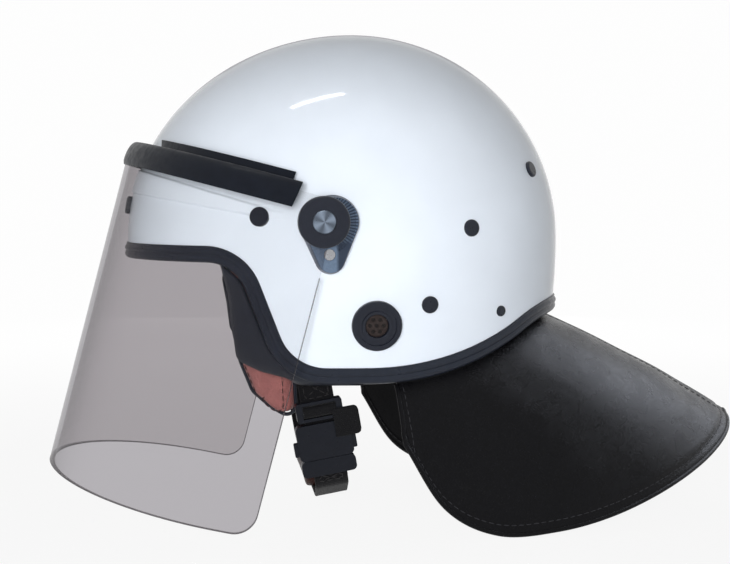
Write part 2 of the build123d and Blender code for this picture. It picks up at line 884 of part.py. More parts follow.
# Chin strap planes: one across the helmet with y down the strap, one from the side with y up it
rake = radians(strap_rake)
loop_plane = Plane(origin=(0, anchor_y, anchor_z), x_dir=(1, 0, 0), z_dir=(0, cos(rake), sin(rake)))
strap_side = Plane(origin=(0, anchor_y, anchor_z), x_dir=(0, cos(rake), sin(rake)), z_dir=(1, 0, 0))
strap_inner_x = strap_x - strap_thickness / 2
buckle_plane = strap_side.offset(strap_x - buckle_thickness / 2)
socket_low = -socket_top_drop - socket_length
plug_top = socket_low - plug_gap
tab_radius = strap_width / 2

with BuildPart() as strap_anchor:
    with BuildSketch(Plane.YZ.offset(strap_inner_x - anchor_head_height - fit_gap)):
        with Locations((anchor_y, anchor_z)):
            Circle(anchor_head_radius)
    extrude(amount=anchor_head_height)
    with BuildSketch(Plane.YZ.offset(strap_inner_x - anchor_head_height - fit_gap)):
        with Locations((anchor_y, anchor_z)):
            Circle(anchor_radius)
    extrude(amount=anchor_end_x - strap_inner_x + anchor_head_height + fit_gap)
with BuildPart() as strap_anchors:
    add(strap_anchor.part)
    add(twin(strap_anchor.part))
save(strap_anchors.part, "strap_anchors")

with BuildPart() as strap_short:
    with BuildSketch(strap_side.offset(strap_inner_x)):
        Circle(tab_radius)
        Rectangle(strap_width, socket_top_drop + buckle_wall, align=(Align.CENTER, Align.MAX))
        Circle(anchor_radius + fit_gap, mode=Mode.SUBTRACT)
    extrude(amount=strap_thickness)
save(strap_short.part, "chin_strap_short")

with BuildPart() as strap_slider:
    with BuildSketch(buckle_plane):
        with Locations((0, -slider_top_drop - slider_length / 2)):
            RectangleRounded(slider_width, slider_length, slider_bar / 2)
    extrude(amount=buckle_thickness)
    with BuildSketch(strap_side.offset(strap_x)):
        with Locations((0, -slider_top_drop - slider_length / 2)):
            with GridLocations(0, slider_bar + slider_slot, 1, 2):
                Rectangle(strap_width, slider_slot)
    extrude(amount=buckle_thickness, mode=Mode.SUBTRACT)
    with BuildSketch(strap_side.offset(strap_inner_x - fit_gap)):
        Rectangle(strap_width + 2 * fit_gap, cut_reach, align=(Align.CENTER, Align.MAX))
    extrude(amount=strap_thickness + 2 * fit_gap, mode=Mode.SUBTRACT)
save(strap_slider.part, "strap_slider")

with BuildPart() as strap_tail:
    with BuildSketch(buckle_plane.offset(buckle_thickness + fit_gap)):
        with Locations((strap_width / 2 - slider_bar, -slider_top_drop - slider_length / 2)):
            RectangleRounded(tail_length + slider_bar, tail_width, slider_bar, align=(Align.MIN, Align.MAX))
    extrude(amount=strap_thickness)
save(strap_tail.part, "strap_tail")

socket_middle = -socket_top_drop - socket_length / 2
cavity_half = buckle_width / 2 - buckle_wall
with BuildPart() as buckle_socket:
    with BuildSketch(buckle_plane):
        with Locations((0, socket_middle)):
            RectangleRounded(buckle_width, socket_length, buckle_round)
    extrude(amount=buckle_thickness)
    with BuildSketch(buckle_plane.offset(buckle_wall)):
        with Locations((0, socket_low)):
            Rectangle(2 * cavity_half, socket_length - buckle_wall, align=(Align.CENTER, Align.MIN))
        with Locations((0, socket_low + prong_window_margin)):
            Rectangle(
                2 * buckle_width,
                prong_length - prong_window_margin,
                align=(Align.CENTER, Align.MIN),
            )
    extrude(amount=buckle_thickness - 2 * buckle_wall, mode=Mode.SUBTRACT)
    with BuildSketch(strap_side.offset(strap_inner_x - fit_gap)):
        Rectangle(
            strap_width + 2 * fit_gap,
            socket_top_drop + buckle_wall,
            align=(Align.CENTER, Align.MAX),
        )
    extrude(amount=strap_thickness + 2 * fit_gap, mode=Mode.SUBTRACT)
save(buckle_socket.part, "buckle_socket")

with BuildPart() as buckle_plug:
    with BuildSketch(buckle_plane):
        with Locations((0, plug_top)):
            RectangleRounded(buckle_width, plug_length, buckle_round, align=(Align.CENTER, Align.MAX))
    extrude(amount=buckle_thickness)
    with BuildSketch(strap_side.offset(strap_x - prong_thickness / 2)):
        with Locations((0, plug_top)):
            Rectangle(tongue_width, tongue_length, align=(Align.CENTER, Align.MIN))
            Rectangle(tongue_width, plug_length / 2, align=(Align.CENTER, Align.MAX))
    extrude(amount=prong_thickness)
    with BuildSketch(strap_side.offset(strap_inner_x - fit_gap)):
        with Locations((0, plug_top - plug_length / 2)):
            Rectangle(strap_width + 2 * fit_gap, plug_length, align=(Align.CENTER, Align.MAX))
    extrude(amount=strap_thickness + 2 * fit_gap, mode=Mode.SUBTRACT)
save(buckle_plug.part, "buckle_plug")

# Release prongs: sprung arms of the plug with thumb pads in the socket's side windows
prong_outer = cavity_half - plug_gap
prong_low = plug_top + plug_gap
thumb_rise = buckle_width / 2 + prong_thumb_rise - prong_outer
for name, side in (("buckle_prong_rear", 1), ("buckle_prong_front", -1)):
    with BuildPart() as prong:
        with BuildSketch(strap_side.offset(strap_x - prong_thickness / 2)):
            with Locations((side * (prong_outer - prong_width / 2), prong_low)):
                Rectangle(prong_width, prong_length - plug_gap, align=(Align.CENTER, Align.MIN))
            with Locations((side * (prong_outer + thumb_rise / 2), prong_low + prong_window_margin * 3)):
                Rectangle(thumb_rise, prong_thumb_length, align=(Align.CENTER, Align.MIN))
        extrude(amount=prong_thickness)
    save(prong.part, name)

# Long half of the chin strap, from the plug under the chin to the far anchor
with BuildPart() as strap_window:
    with BuildSketch(strap_side):
        Circle(tab_radius)
        Rectangle(strap_width, cut_reach, align=(Align.CENTER, Align.MAX))
        Circle(anchor_radius + fit_gap, mode=Mode.SUBTRACT)
    extrude(amount=-cut_reach)
    with BuildSketch(strap_side):
        Rectangle(strap_width, cut_reach, align=(Align.CENTER, Align.MAX))
    extrude(amount=cut_reach)
with BuildPart() as strap_long:
    with BuildSketch(loop_plane):
        with BuildLine() as strap_path:
            FilletPolyline(
                (strap_x, -plug_top + plug_length / 2),
                (strap_x, strap_side_drop),
                (strap_turn_x, strap_turn_drop),
                (-strap_turn_x, strap_turn_drop),
                (-strap_x, strap_side_drop),
                (-strap_x, -tab_radius),
                radius=(strap_side_radius, strap_turn_radius, strap_turn_radius, strap_side_radius),
            )
        trace(strap_path.wire(), strap_thickness)
    extrude(amount=strap_width / 2, both=True)
    add(strap_window.part, mode=Mode.INTERSECT)
save(strap_long.part, "chin_strap_long")

# Chin pad on the strap's inner face
pad_face_drop = strap_turn_drop - strap_thickness / 2 - seat_gap
with BuildPart() as chin_pad:
    with BuildSketch(loop_plane):
        with Locations((0, pad_face_drop - chin_pad_thickness / 2)):
            RectangleRounded(chin_pad_length, chin_pad_thickness, chin_pad_round)
    extrude(amount=chin_pad_width / 2, both=True)
    fillet(edges().filter_by(GeomType.LINE).filter_by(Axis.X), chin_pad_round)
save(chin_pad.part, "chin_pad")

# Fixing strip of the neck guard, inside the trim round the back
strip_outer = -shell_wall - trim_wrap - seat_gap
strip_inner = strip_outer - strip_thickness
with BuildPart() as guard_strip:
    add(dome_layer(strip_outer, strip_inner))
    add(edge_zone(0), mode=Mode.INTERSECT)
    add(edge_zone(seat_gap - liner_edge_cover), mode=Mode.SUBTRACT)
    add(side_box(guard_front_y, cut_reach, -cut_reach, cut_reach), mode=Mode.INTERSECT)
save(guard_strip.part, "guard_strip")

# Neck guard: a loft over its fold lines, from the strip out to the hem
guard_seat = strip_inner - seat_gap - guard_thickness / 2


def guard_root(turn_angle):
    """Bend of a fold line, just below the trim and in line with the strip's inner face."""
    turn = radians(turn_angle)
    y = dome_centre_y + dome_rear * cos(turn)
    for _ in range(4):
        z = edge_height(y) - guard_bend_drop
        level = sqrt(1 - ((z - dome_centre_z) / (dome_drop + guard_seat)) ** 2)
        y = dome_centre_y + (dome_rear + guard_seat) * level * cos(turn)
    return Vector((dome_half_width + guard_seat) * level * sin(turn), y, z)


half_roots = [guard_root(angle) for angle in guard_turn_angles]
half_hems = [
    Vector(
        x_share * guard_half_width,
        guard_front_y + y_share * guard_length,
        ear_edge_z - z_share * guard_depth,
    )
    for x_share, y_share, z_share in guard_hem_shares
]
roots = [Vector(-p.X, p.Y, p.Z) for p in half_roots[:0:-1]] + half_roots
hems = [Vector(-p.X, p.Y, p.Z) for p in half_hems[:0:-1]] + half_hems
bows = list(guard_bow_shares[:0:-1]) + list(guard_bow_shares)
half = guard_thickness / 2
with BuildPart() as neck_guard:
    for index, (root, hem) in enumerate(zip(roots, hems)):
        before = max(index - 1, 0)
        after = min(index + 1, len(roots) - 1)
        along = (roots[after] + hems[after] - roots[before] - hems[before]).normalized()
        down = (hem - root).normalized()
        outward = down.cross(along).normalized()
        run = (hem - root).length
        bow = bows[index] * run
        section = Plane(origin=root, x_dir=down, z_dir=down.cross(outward))
        # Direction up the tucked part, in the section's own axes, and the mitre at the bend
        tuck = Vector(-down.Z, -outward.Z).normalized() * -1
        side = Vector(tuck.Y, -tuck.X)
        mitre = (side + Vector(0, 1)) * (half / (1 + side.Y))
        top = tuck * guard_tuck
        with BuildSketch(section):
            with BuildLine():
                ThreePointArc(mitre, (run / 2, half + bow), (run, half))
                Line((run, half), (run, -half))
                ThreePointArc((run, -half), (run / 2, bow - half), mitre * -1)
                Polyline(mitre * -1, top - side * half, top + side * half, mitre)
            make_face()
    loft()
save(neck_guard.part, "neck_guard")
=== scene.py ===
import math

import bmesh
import bpy
import numpy as np
from bpy.props import FloatProperty, FloatVectorProperty, IntProperty, PointerProperty
from bpy.types import Operator, Panel, PropertyGroup
from mathutils import Matrix, Quaternion, Vector, noise


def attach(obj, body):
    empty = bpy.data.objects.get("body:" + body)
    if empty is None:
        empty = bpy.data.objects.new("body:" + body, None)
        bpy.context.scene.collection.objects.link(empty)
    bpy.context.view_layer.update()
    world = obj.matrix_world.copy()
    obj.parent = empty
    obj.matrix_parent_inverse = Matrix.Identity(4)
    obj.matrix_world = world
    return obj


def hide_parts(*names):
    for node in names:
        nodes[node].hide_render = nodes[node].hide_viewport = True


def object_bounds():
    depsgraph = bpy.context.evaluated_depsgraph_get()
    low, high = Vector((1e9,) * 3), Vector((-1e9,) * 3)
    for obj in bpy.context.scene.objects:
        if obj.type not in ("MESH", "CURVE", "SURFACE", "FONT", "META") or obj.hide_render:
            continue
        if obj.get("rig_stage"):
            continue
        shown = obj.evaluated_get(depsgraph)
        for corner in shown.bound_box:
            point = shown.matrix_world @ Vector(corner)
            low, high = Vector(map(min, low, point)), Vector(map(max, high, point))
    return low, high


bl_info = {
    "name": "Riot Helmet",
    "version": (1, 0, 0),
    "blender": (4, 5, 0),
    "location": "View3D > Sidebar > Helmet",
    "description": "Dresses the riot helmet's frame with its shell, rubber, leather, webbing and visor",
    "category": "Object",
}

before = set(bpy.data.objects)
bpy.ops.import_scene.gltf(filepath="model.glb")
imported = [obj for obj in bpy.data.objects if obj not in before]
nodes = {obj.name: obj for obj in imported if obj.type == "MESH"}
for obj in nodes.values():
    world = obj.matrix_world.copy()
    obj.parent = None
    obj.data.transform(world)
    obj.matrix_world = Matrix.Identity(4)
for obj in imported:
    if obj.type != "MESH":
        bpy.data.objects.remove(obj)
cad_box = [list(corner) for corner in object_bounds()]

MM = 0.001
WELD_GAP = 0.00001
SHARP_ANGLE = 40.0
STITCH_STEP = 0.4
WAVES_PER_UNIT = 3.2

# The shell's dome, as in the frame: two half ellipsoids of one width, in millimetres
DOME_HALF_WIDTH = 123.0
DOME_FRONT = 152.0
DOME_REAR = 140.0
DOME_HEIGHT = 137.0
DOME_DROP = 250.0
DOME_Y = 6.0
DOME_Z = 50.0
PIVOT = (-25.0, 63.0)

# Pivot base, in metres: where its bare foot starts and is full below the pivot, where its dark rear flank
# starts along the helmet, how far from the pivot its teeth start, and where they end below it
TO_PIVOT = (0.0, -PIVOT[0] * MM, -PIVOT[1] * MM)
BASE_FOOT = (0.006, 0.012)
BASE_FLANK = (-0.0172, -0.0152)
BASE_DARK = 0.12
BASE_TEETH = (0.0156, 0.0162)
BASE_TEETH_END = (0.014, 0.011)
BASE_TEETH_COUNT = 66.0

# Side view of the shell's edge: corners of its straight runs with their radii, then two arcs
EDGE_CORNERS = ((-170.0, 39.0), (-75.7, 39.0), (-47.8, -34.8), (5.0, -34.8))
EDGE_RADII = (26.0, 38.0)
NAPE_RISE = (198.5, 31.0)
NAPE_LEVEL = 66.5

# Moulded band on the brow: its upper and lower step as (y, z), the width of a step, and where it dies away
BAND_TOP = ((-165.0, 104.0), (-93.0, 81.4), (-50.0, 68.5))
BAND_LOW = ((-165.0, 84.6), (-50.0, 63.9))
BAND_STEP = 0.9
BAND_END = -46.0
BAND_FADE = 16.0

# Section of the rim trim as (out from the shell, down from its edge)
TRIM_PROFILE = (
    (-0.3, -8.6),
    (0.55, -8.8),
    (1.0, -8.3),
    (0.8, -7.8),
    (0.75, -7.5),
    (1.35, -6.9),
    (2.0, -6.0),
    (2.2, -5.0),
    (1.95, -4.1),
    (1.3, -3.6),
    (1.3, -3.2),
    (2.0, -2.5),
    (2.2, -1.3),
    (2.0, -0.2),
    (1.45, 0.8),
    (0.5, 1.45),
    (-0.8, 1.65),
    (-3.0, 1.65),
    (-4.8, 1.3),
    (-5.9, 0.3),
    (-6.2, -1.2),
    (-6.2, -7.4),
    (-5.6, -8.4),
    (-4.2, -8.5),
)

# Face edging: start of its seam, stretch along the shell's edge, free edge, and its two faces as
# (depth, swell, power of the swell)
EDGING_START = (-84.0, 39.0)
EDGING_STRETCH = (-82.0, 2.0)
EDGING_CORNERS = (
    (-86.0, 37.2),
    (-81.0, 18.0),
    (-76.0, -23.0),
    (-61.0, -29.5),
    (-46.0, -33.0),
    (-39.0, -37.4),
    (2.0, -37.4),
)
EDGING_RADII = (30.0, 7.0, 14.0, 8.0, 12.0)
EDGING_GROOVE = 2.0
EDGING_OUTER_FACE = (-1.6, 2.6, 3)
EDGING_INNER_FACE = (-4.6, -3.2, 4)

# Visor: a bent sheet on an axis that leans back, with its outline in the side view
VISOR_TILT = 14.8
VISOR_HALF_WIDTH = 131.0
VISOR_REACH = 127.7
VISOR_FLAT = 16.0
VISOR_WALL = 3.0
VISOR_OUTLINE = ((6.3, -33.0), (6.3, -193.4), (-16.0, -194.27))
VISOR_CORNER = 14.0
VISOR_FRONT_DROP = 198.6
VISOR_EDGE_PROFILE = ((-0.2, -1.58), (0.2, -1.58), (0.32, -1.3), (0.32, 1.3), (0.2, 1.58), (-0.2, 1.58))

# Visor seal: middle and reach of its skirt's roll as (out, up), and the rest of what is cut away round it
SEAL_ROLL = ((-4.0, 6.6), (5.6, 13.6))
SEAL_CUT = ((-4.0, 23.0), (10.0, 23.0), (10.0, 2.0), (1.0, 2.0), (1.0, 4.4))

# Cheek pad: place of its middle, depth below the dome, outline and corner radii
PAD_PLACE = (-62.0, -5.0)
PAD_INSET = 17.0
PAD_CORNERS = ((-24.0, 29.5), (-16.5, -22.0), (-9.0, -41.5), (4.0, -51.5), (19.0, -59.5), (19.0, 29.5))
PAD_RADII = (8.0, 12.0, 9.0, 12.0, 6.5, 8.0)
# Rings of its section as (depth, drawn in)
PAD_RINGS = ((0.0, 6.0), (1.8, 1.8), (6.0, 0.0), (14.0, 0.0), (18.2, 1.8), (20.0, 6.0))
PAD_SPINE = (-45.0, 15.0)

# Hearing port on the left side, and its felt as (radius, height over the shell)
PORT_PLACE = (8.2, 0.0)
FELT_OUTLINE = ((6.8, -2.0), (6.8, 0.05), (6.5, 0.15), (3.0, 0.18), (0.3, 0.18))

# Chin strap: its anchor, the lean of its plane and its line as (across the helmet, down the strap)
STRAP_ANCHOR = (-30.0, -26.5)
STRAP_RAKE = 10.0
STRAP_X = 98.5
STRAP_HALF_WIDTH = 10.5
STRAP_SHORT = ((98.5, -10.5), (98.5, 37.8))
STRAP_LOOP = ((98.5, 63.3), (98.5, 75.0), (66.0, 88.0), (-66.0, 88.0), (-98.5, 75.0), (-98.5, -10.5))
STRAP_LOOP_RADII = (9.0, 22.0, 22.0, 9.0)
STRAP_FOLD = ((99.7, 25.2), (103.9, 25.2), (103.9, 30.8), (99.7, 30.8))
STRAP_FOLD_RADII = (1.6, 1.6)
STRAP_TAB_LEAST = 2.0
EYELET_RADIUS = 3.1
EYELET_REACH = 4.0

BUCKLE_NODES = ("strap_slider", "buckle_socket", "buckle_plug", "buckle_prong_front", "buckle_prong_rear")

# Sewn boxes on the webbing: name, start and end down the strap, then their half width
STRAP_SEAMS = (("short", 9.0, 20.0), ("plug", 69.0, 72.5))
STRAP_SEAM_HALF_WIDTH = 7.5

# Loose end of the short strap: place as (across the helmet, down the strap, along the end), and its form
TAIL_PLACE = (104.1, 37.0, 7.5)
TAIL_LENGTH = 16.0
TAIL_HALF_WIDTH = 9.0
TAIL_CORNER = 3.0
TAIL_CURL = 0.5

# Stage, lamps and camera are in metres
# Gap under the helmet, then half width, height and bend of the backdrop
FLOOR_GAP = 0.0005
STAGE_REACH = 6.0
STAGE_RISE = 6.0
STAGE_BEND = 2.5

# Lamps: name, place, size, power, whether gloss and matt surfaces take their light, and turn in degrees
LAMPS = (
    ("key_lamp", (1.46, -0.30, 0.17), (0.5, 0.5), 19.0, False, True, 0.0),
    ("far_lamp", (-1.4, 0.15, 0.25), (0.8, 0.8), 9.0, False, True, 0.0),
    ("leather_box", (-0.3, 1.3, 1.0), (1.2, 1.2), 32.0, True, False, 0.0),
    ("crown_tube", (0.28, -0.235, 1.3), (0.43, 0.03), 1.8, True, False, 50.0),
)
LAMP_AIM = (0.0, 0.02, 0.02)
LEATHER_LIGHT = (0.84, 0.89, 1.0)
ROOM_LIGHT = (0.92, 0.96, 1.0)
ROOM_STRENGTH = 0.09

# Camera, fitted to the photograph
CAMERA_PLACE = (0.96746, -0.09716, 0.07930)
CAMERA_AIM = (0.0, 0.015, 0.019)
CAMERA_LENS = 69.73
CAMERA_SENSOR = 36.0

# Neck guard: fold lines from the centre of the back to the side
GUARD_TURNS = (0.0, 14.0, 27.0, 39.0, 50.0, 60.0, 69.0, 76.0, 82.0)
GUARD_HEMS = (
    (0.0, 272.0, -74.8),
    (34.0, 262.1, -82.8),
    (66.0, 236.0, -95.8),
    (92.0, 200.1, -109.7),
    (110.0, 159.9, -121.8),
    (118.0, 122.0, -128.9),
    (120.0, 84.0, -129.8),
    (118.0, 52.0, -113.5),
    (115.0, 27.0, -74.2),
)
GUARD_BOWS = (0.02, 0.035, 0.06, 0.075, 0.07, 0.05, 0.04, 0.03, 0.02)
GUARD_SEAT = -10.9
GUARD_BEND_DROP = 4.0
GUARD_TUCK = 9.0
GUARD_HALF_WALL = 1.5

# Creases: how fast they change along the helmet's three axes, and where the soft noise is read
CREASE_RATES = (0.016, 0.022, 0.022)
CREASE_START = (3.1, 0.7, 5.2)

# Ridge of the centre seam and the shallow dips beside it, as (height, half width in folds)
SEAM_RIDGE = (1.6, 0.13)
SEAM_DIP = (0.9, 0.45)
# Groove that the hem's stitches lie in, as (depth, half width)
SEAM_GROOVE = (0.7, 1.6)


# Settings


def paint(name, description, *default):
    """Setting for a colour."""
    return FloatVectorProperty(
        name=name, description=description, default=default, subtype="COLOR", min=0, max=1
    )


def measure(name, description, default):
    """Setting for a length in metres."""
    return FloatProperty(name=name, description=description, default=default, unit="LENGTH")


class HelmetColours(PropertyGroup):
    """Base colours of the helmet's finishes."""

    shell: paint("Shell", "Moulded shell", 0.78, 0.84, 0.92)
    rubber: paint("Rubber", "Trim and seal", 0.009, 0.012, 0.02)
    leather: paint("Leather", "Neck guard", 0.004, 0.004, 0.005)
    pad_leather: paint("Pad leather", "Cheek pads", 0.37, 0.135, 0.125)
    plastic: paint("Plastic", "Knobs, caps and buckle", 0.009, 0.011, 0.018)
    webbing: paint("Webbing", "Chin strap", 0.006, 0.006, 0.007)
    cloth: paint("Cloth", "Cushions in the crown", 0.03, 0.03, 0.034)
    visor: paint("Visor tint", "Tint of the clear sheet", 0.055, 0.052, 0.058)
    visor_density: FloatProperty(
        name="Visor density",
        description="Share of light that one face of the sheet holds back",
        min=0,
        max=1,
        default=0.05,
    )
    behind_one: paint("Behind one wall", "Surroundings through one wall of the visor", 0.525, 0.505, 0.531)
    behind_two: paint("Behind two walls", "Surroundings through both walls of the visor", 0.45, 0.42, 0.44)
    base_upper: paint("Pivot base, upper", "Dark part of the pivot base", 0.02, 0.028, 0.05)
    base_lower: paint("Pivot base, lower", "Bare part of the pivot base", 0.15, 0.21, 0.30)
    backdrop: paint("Backdrop", "Floor and surroundings", 0.9, 0.9, 0.9)


class HelmetSizes(PropertyGroup):
    """Sizes of the sewn, moulded and rolled details."""

    grain: measure("Leather grain", "Width of one grain cell", 0.0011)
    weave: measure("Weave", "Width of one yarn of the webbing", 0.0012)
    stitch: measure("Stitch", "Length of one stitch", 0.0034)
    stitch_gap: measure("Stitch gap", "Space between two stitches", 0.0014)
    thread: measure("Thread", "Thickness of the thread", 0.0007)
    seam_inset: measure("Seam inset", "Distance of the seams from the leather's edge", 0.006)
    piping: measure("Piping", "Radius of the rolled leather edge", 0.0017)
    crease: measure("Crease", "Height of the leather's creases", 0.0016)
    band_rise: measure("Brow band", "Height of the moulded band over the shell", 0.0012)
    shell_wall: measure("Shell wall", "Thickness of the shell", 0.004)
    puff_steps: IntProperty(
        name="Puff steps", description="Steps of cloth simulation for each cushion", min=1, default=20
    )


class HelmetSettings(PropertyGroup):
    """Everything a user may change on the helmet."""

    colours: PointerProperty(type=HelmetColours)
    sizes: PointerProperty(type=HelmetSizes)


def colours():
    """The settings' colours."""
    return bpy.context.scene.riot_helmet.colours


def sizes():
    """The settings' sizes."""
    return bpy.context.scene.riot_helmet.sizes


# Shapes of the shell


def dome_axes(before, z, grow):
    """Half width, length and height of the grown dome, before or behind its middle and over or under it."""
    long = DOME_FRONT if before else DOME_REAR
    tall = DOME_HEIGHT if z > DOME_Z else DOME_DROP
    return DOME_HALF_WIDTH + grow, long + grow, tall + grow


def dome_point(turn, z, grow=0.0):
    """Point on the grown dome at an angle round from the front, in millimetres."""
    wide, long, tall = dome_axes(math.cos(turn) > 0, z, grow)
    level = math.sqrt(max(1 - ((z - DOME_Z) / tall) ** 2, 0))
    return Vector((wide * level * math.sin(turn), DOME_Y - long * level * math.cos(turn), z))


def dome_side(y, z, grow=0.0):
    """Point on the grown dome's left half at a place in the side view, in millimetres."""
    wide, long, tall = dome_axes(y < DOME_Y, z, grow)
    rest = 1 - ((y - DOME_Y) / long) ** 2 - ((z - DOME_Z) / tall) ** 2
    return Vector((wide * math.sqrt(max(rest, 0)), y, z))


def dome_normal(point, grow=0.0):
    """Outward direction of the grown dome at a point in millimetres."""
    wide, long, tall = dome_axes(point.y < DOME_Y, point.z, grow)
    away = (point.x / wide**2, (point.y - DOME_Y) / long**2, (point.z - DOME_Z) / tall**2)
    return Vector(away).normalized()


def dome_seat(y, z, grow=0.0):
    """Place on the grown dome's left side, with its outward, rearward and upward directions."""
    origin = dome_side(y, z, grow)
    out = dome_normal(origin, grow)
    across = Vector((0, 0, 1)).cross(out).normalized()
    return origin, out, across, out.cross(across)


def round_corner(before, corner, after, radius, steps=14):
    """Points of an arc that rounds a corner of the side view."""
    a = (Vector(before) - Vector(corner)).normalized()
    b = (Vector(after) - Vector(corner)).normalized()
    half = math.acos(max(-1, min(1, a.dot(b)))) / 2
    centre = Vector(corner) + (a + b).normalized() * (radius / math.sin(half))
    start = Vector(corner) + a * (radius / math.tan(half)) - centre
    end = Vector(corner) + b * (radius / math.tan(half)) - centre
    sweep = start.angle_signed(end)
    points = []
    for step in range(steps + 1):
        turn = -sweep * step / steps
        cos, sin = math.cos(turn), math.sin(turn)
        points.append(centre + Vector((start.x * cos - start.y * sin, start.x * sin + start.y * cos)))
    return points


def shell_edge_line():
    """Side view of the shell's edge from the brow to the nape, as (y, z) in millimetres."""
    front, brow, cheek, ear = EDGE_CORNERS
    line = [Vector(front)]
    line += round_corner(front, brow, cheek, EDGE_RADII[0])
    line += round_corner(brow, cheek, ear, EDGE_RADII[1])
    line.append(Vector(ear))
    radius, turn = NAPE_RISE[0], math.radians(NAPE_RISE[1])
    for step in range(1, 17):
        a = turn * step / 16
        line.append(Vector((ear[0] + radius * math.sin(a), ear[1] + radius * (1 - math.cos(a)))))
    top = line[-1] + Vector((NAPE_LEVEL * math.sin(turn), NAPE_LEVEL * (1 - math.cos(turn))))
    for step in range(1, 13):
        a = turn * (1 - step / 12)
        line.append(top - Vector((NAPE_LEVEL * math.sin(a), NAPE_LEVEL * (1 - math.cos(a)))))
    line.append(Vector((200.0, top.y)))
    return line


EDGE_LINE = shell_edge_line()
EDGE_Y = [p.x for p in EDGE_LINE]
EDGE_Z = [p.y for p in EDGE_LINE]


def edge_height(y):
    """Height of the shell's edge at a distance along the helmet."""
    return float(np.interp(y, EDGE_Y, EDGE_Z))


def edge_height_at(turn, grow=0.0):
    """Height where the grown dome meets the shell's edge, at an angle round from the front."""
    low, high = -45.0, 45.0
    for _ in range(40):
        middle = (low + high) / 2
        if middle > edge_height(dome_point(turn, middle, grow).y):
            high = middle
        else:
            low = middle
    return (low + high) / 2


def even(points, gap, closed=False):
    """The same line with points at equal distances."""
    points = list(points) + ([points[0]] if closed else [])
    steps = [(b - a).length for a, b in zip(points, points[1:])]
    total = sum(steps)
    count = max(2, round(total / gap))
    at = np.concatenate([[0.0], np.cumsum(steps)])
    where = np.linspace(0, total, count + 1)
    table = np.array([tuple(p) for p in points])
    columns = [np.interp(where, at, table[:, axis]) for axis in range(table.shape[1])]
    out = [Vector(row) for row in zip(*columns)]
    return out[:-1] if closed else out


def edge_loop(grow=0.0, gap=2.5):
    """The shell's edge all the way round, in millimetres."""
    turns = [math.radians(step * 0.5) for step in range(720)]
    return even([dome_point(turn, edge_height_at(turn, grow), grow) for turn in turns], gap, closed=True)


# Mesh tools


def new_piece(name, verts, faces, material):
    """Mesh object in the frame's own place, from points in millimetres."""
    mesh = bpy.data.meshes.new(name)
    mesh.from_pydata([Vector(v) * MM for v in verts], [], faces)
    mesh.validate()
    obj = bpy.data.objects.new(name, mesh)
    bpy.context.scene.collection.objects.link(obj)
    bm = bmesh.new()
    bm.from_mesh(mesh)
    bmesh.ops.recalc_face_normals(bm, faces=bm.faces)
    bm.to_mesh(mesh)
    bm.free()
    smooth_faces(obj)
    if material:
        mesh.materials.append(material)
    return obj


def grid_faces(rows, columns, closed_rows=False, closed_columns=False, start=0):
    """Quads over a grid of points laid down row by row."""
    faces = []
    for r in range(rows if closed_rows else rows - 1):
        for c in range(columns if closed_columns else columns - 1):
            here, below = start + r * columns, start + (r + 1) % rows * columns
            after = (c + 1) % columns
            faces.append((here + c, here + after, below + after, below + c))
    return faces


def tube_faces(rows, columns, start=0):
    """Quads between rings of points laid down one after another, with both ends closed."""
    last = start + (rows - 1) * columns
    faces = grid_faces(rows, columns, closed_columns=True, start=start)
    return faces + [tuple(range(start, start + columns)), tuple(reversed(range(last, last + columns)))]


def sweep(name, path, sides, profile, material, closed=False):
    """Closed profile carried along a path. Profile points are (along out, along side)."""
    verts = []
    for point, (out, side) in zip(path, sides):
        verts += [point + out * a + side * b for a, b in profile]
    rows, columns = len(path), len(profile)
    if closed:
        faces = grid_faces(rows, columns, closed_rows=True, closed_columns=True)
    else:
        faces = tube_faces(rows, columns)
    return new_piece(name, verts, faces, material)


def tangents(path, closed=False):
    """Unit directions along a path."""
    count = len(path)
    out = []
    for i in range(count):
        before = path[(i - 1) % count] if closed or i else path[i]
        after = path[(i + 1) % count] if closed or i < count - 1 else path[i]
        out.append((after - before).normalized())
    return out


def circle_profile(radius, count=10):
    """Round profile of a cord."""
    turns = [2 * math.pi * i / count for i in range(count)]
    return [(radius * math.cos(turn), radius * math.sin(turn)) for turn in turns]


def cord_round(name, path, normals, radius, material, closed=False):
    """Rolled edge or thread that follows a path on a surface."""
    sides = []
    for normal, along in zip(normals, tangents(path, closed)):
        side = normal.cross(along).normalized()
        sides.append((along.cross(side).normalized(), side))
    return sweep(name, path, sides, circle_profile(radius), material, closed)


def stitches(name, path, normals, material, lift=0.15):
    """Row of sewn stitches along a path on a surface, in millimetres."""
    length, gap, thick = (v / MM for v in (sizes().stitch, sizes().stitch_gap, sizes().thread))
    fine = even(path, STITCH_STEP)
    normal_columns = np.array([tuple(n) for n in normals]).T
    scale = np.linspace(0, 1, len(normals))
    verts, faces = [], []
    step = max(1, round(length / STITCH_STEP))
    pause = max(1, round(gap / STITCH_STEP))
    i = pause
    while i + step < len(fine):
        share = (i + step / 2) / (len(fine) - 1)
        normal = Vector([np.interp(share, scale, column) for column in normal_columns]).normalized()
        a, b = fine[i], fine[i + step]
        along = (b - a).normalized()
        side = normal.cross(along).normalized()
        start = len(verts)
        for s, swell in ((0.0, 0.35), (0.18, 0.9), (0.5, 1.0), (0.82, 0.9), (1.0, 0.35)):
            centre = a.lerp(b, s) + normal * (lift - 0.25 * thick * (2 * s - 1) ** 2)
            for k in range(6):
                turn = math.pi * k / 3
                verts.append(centre + (side * math.cos(turn) + normal * math.sin(turn)) * (thick / 2 * swell))
        faces += tube_faces(5, 6, start)
        i += step + pause
    return new_piece(name, verts, faces, material)


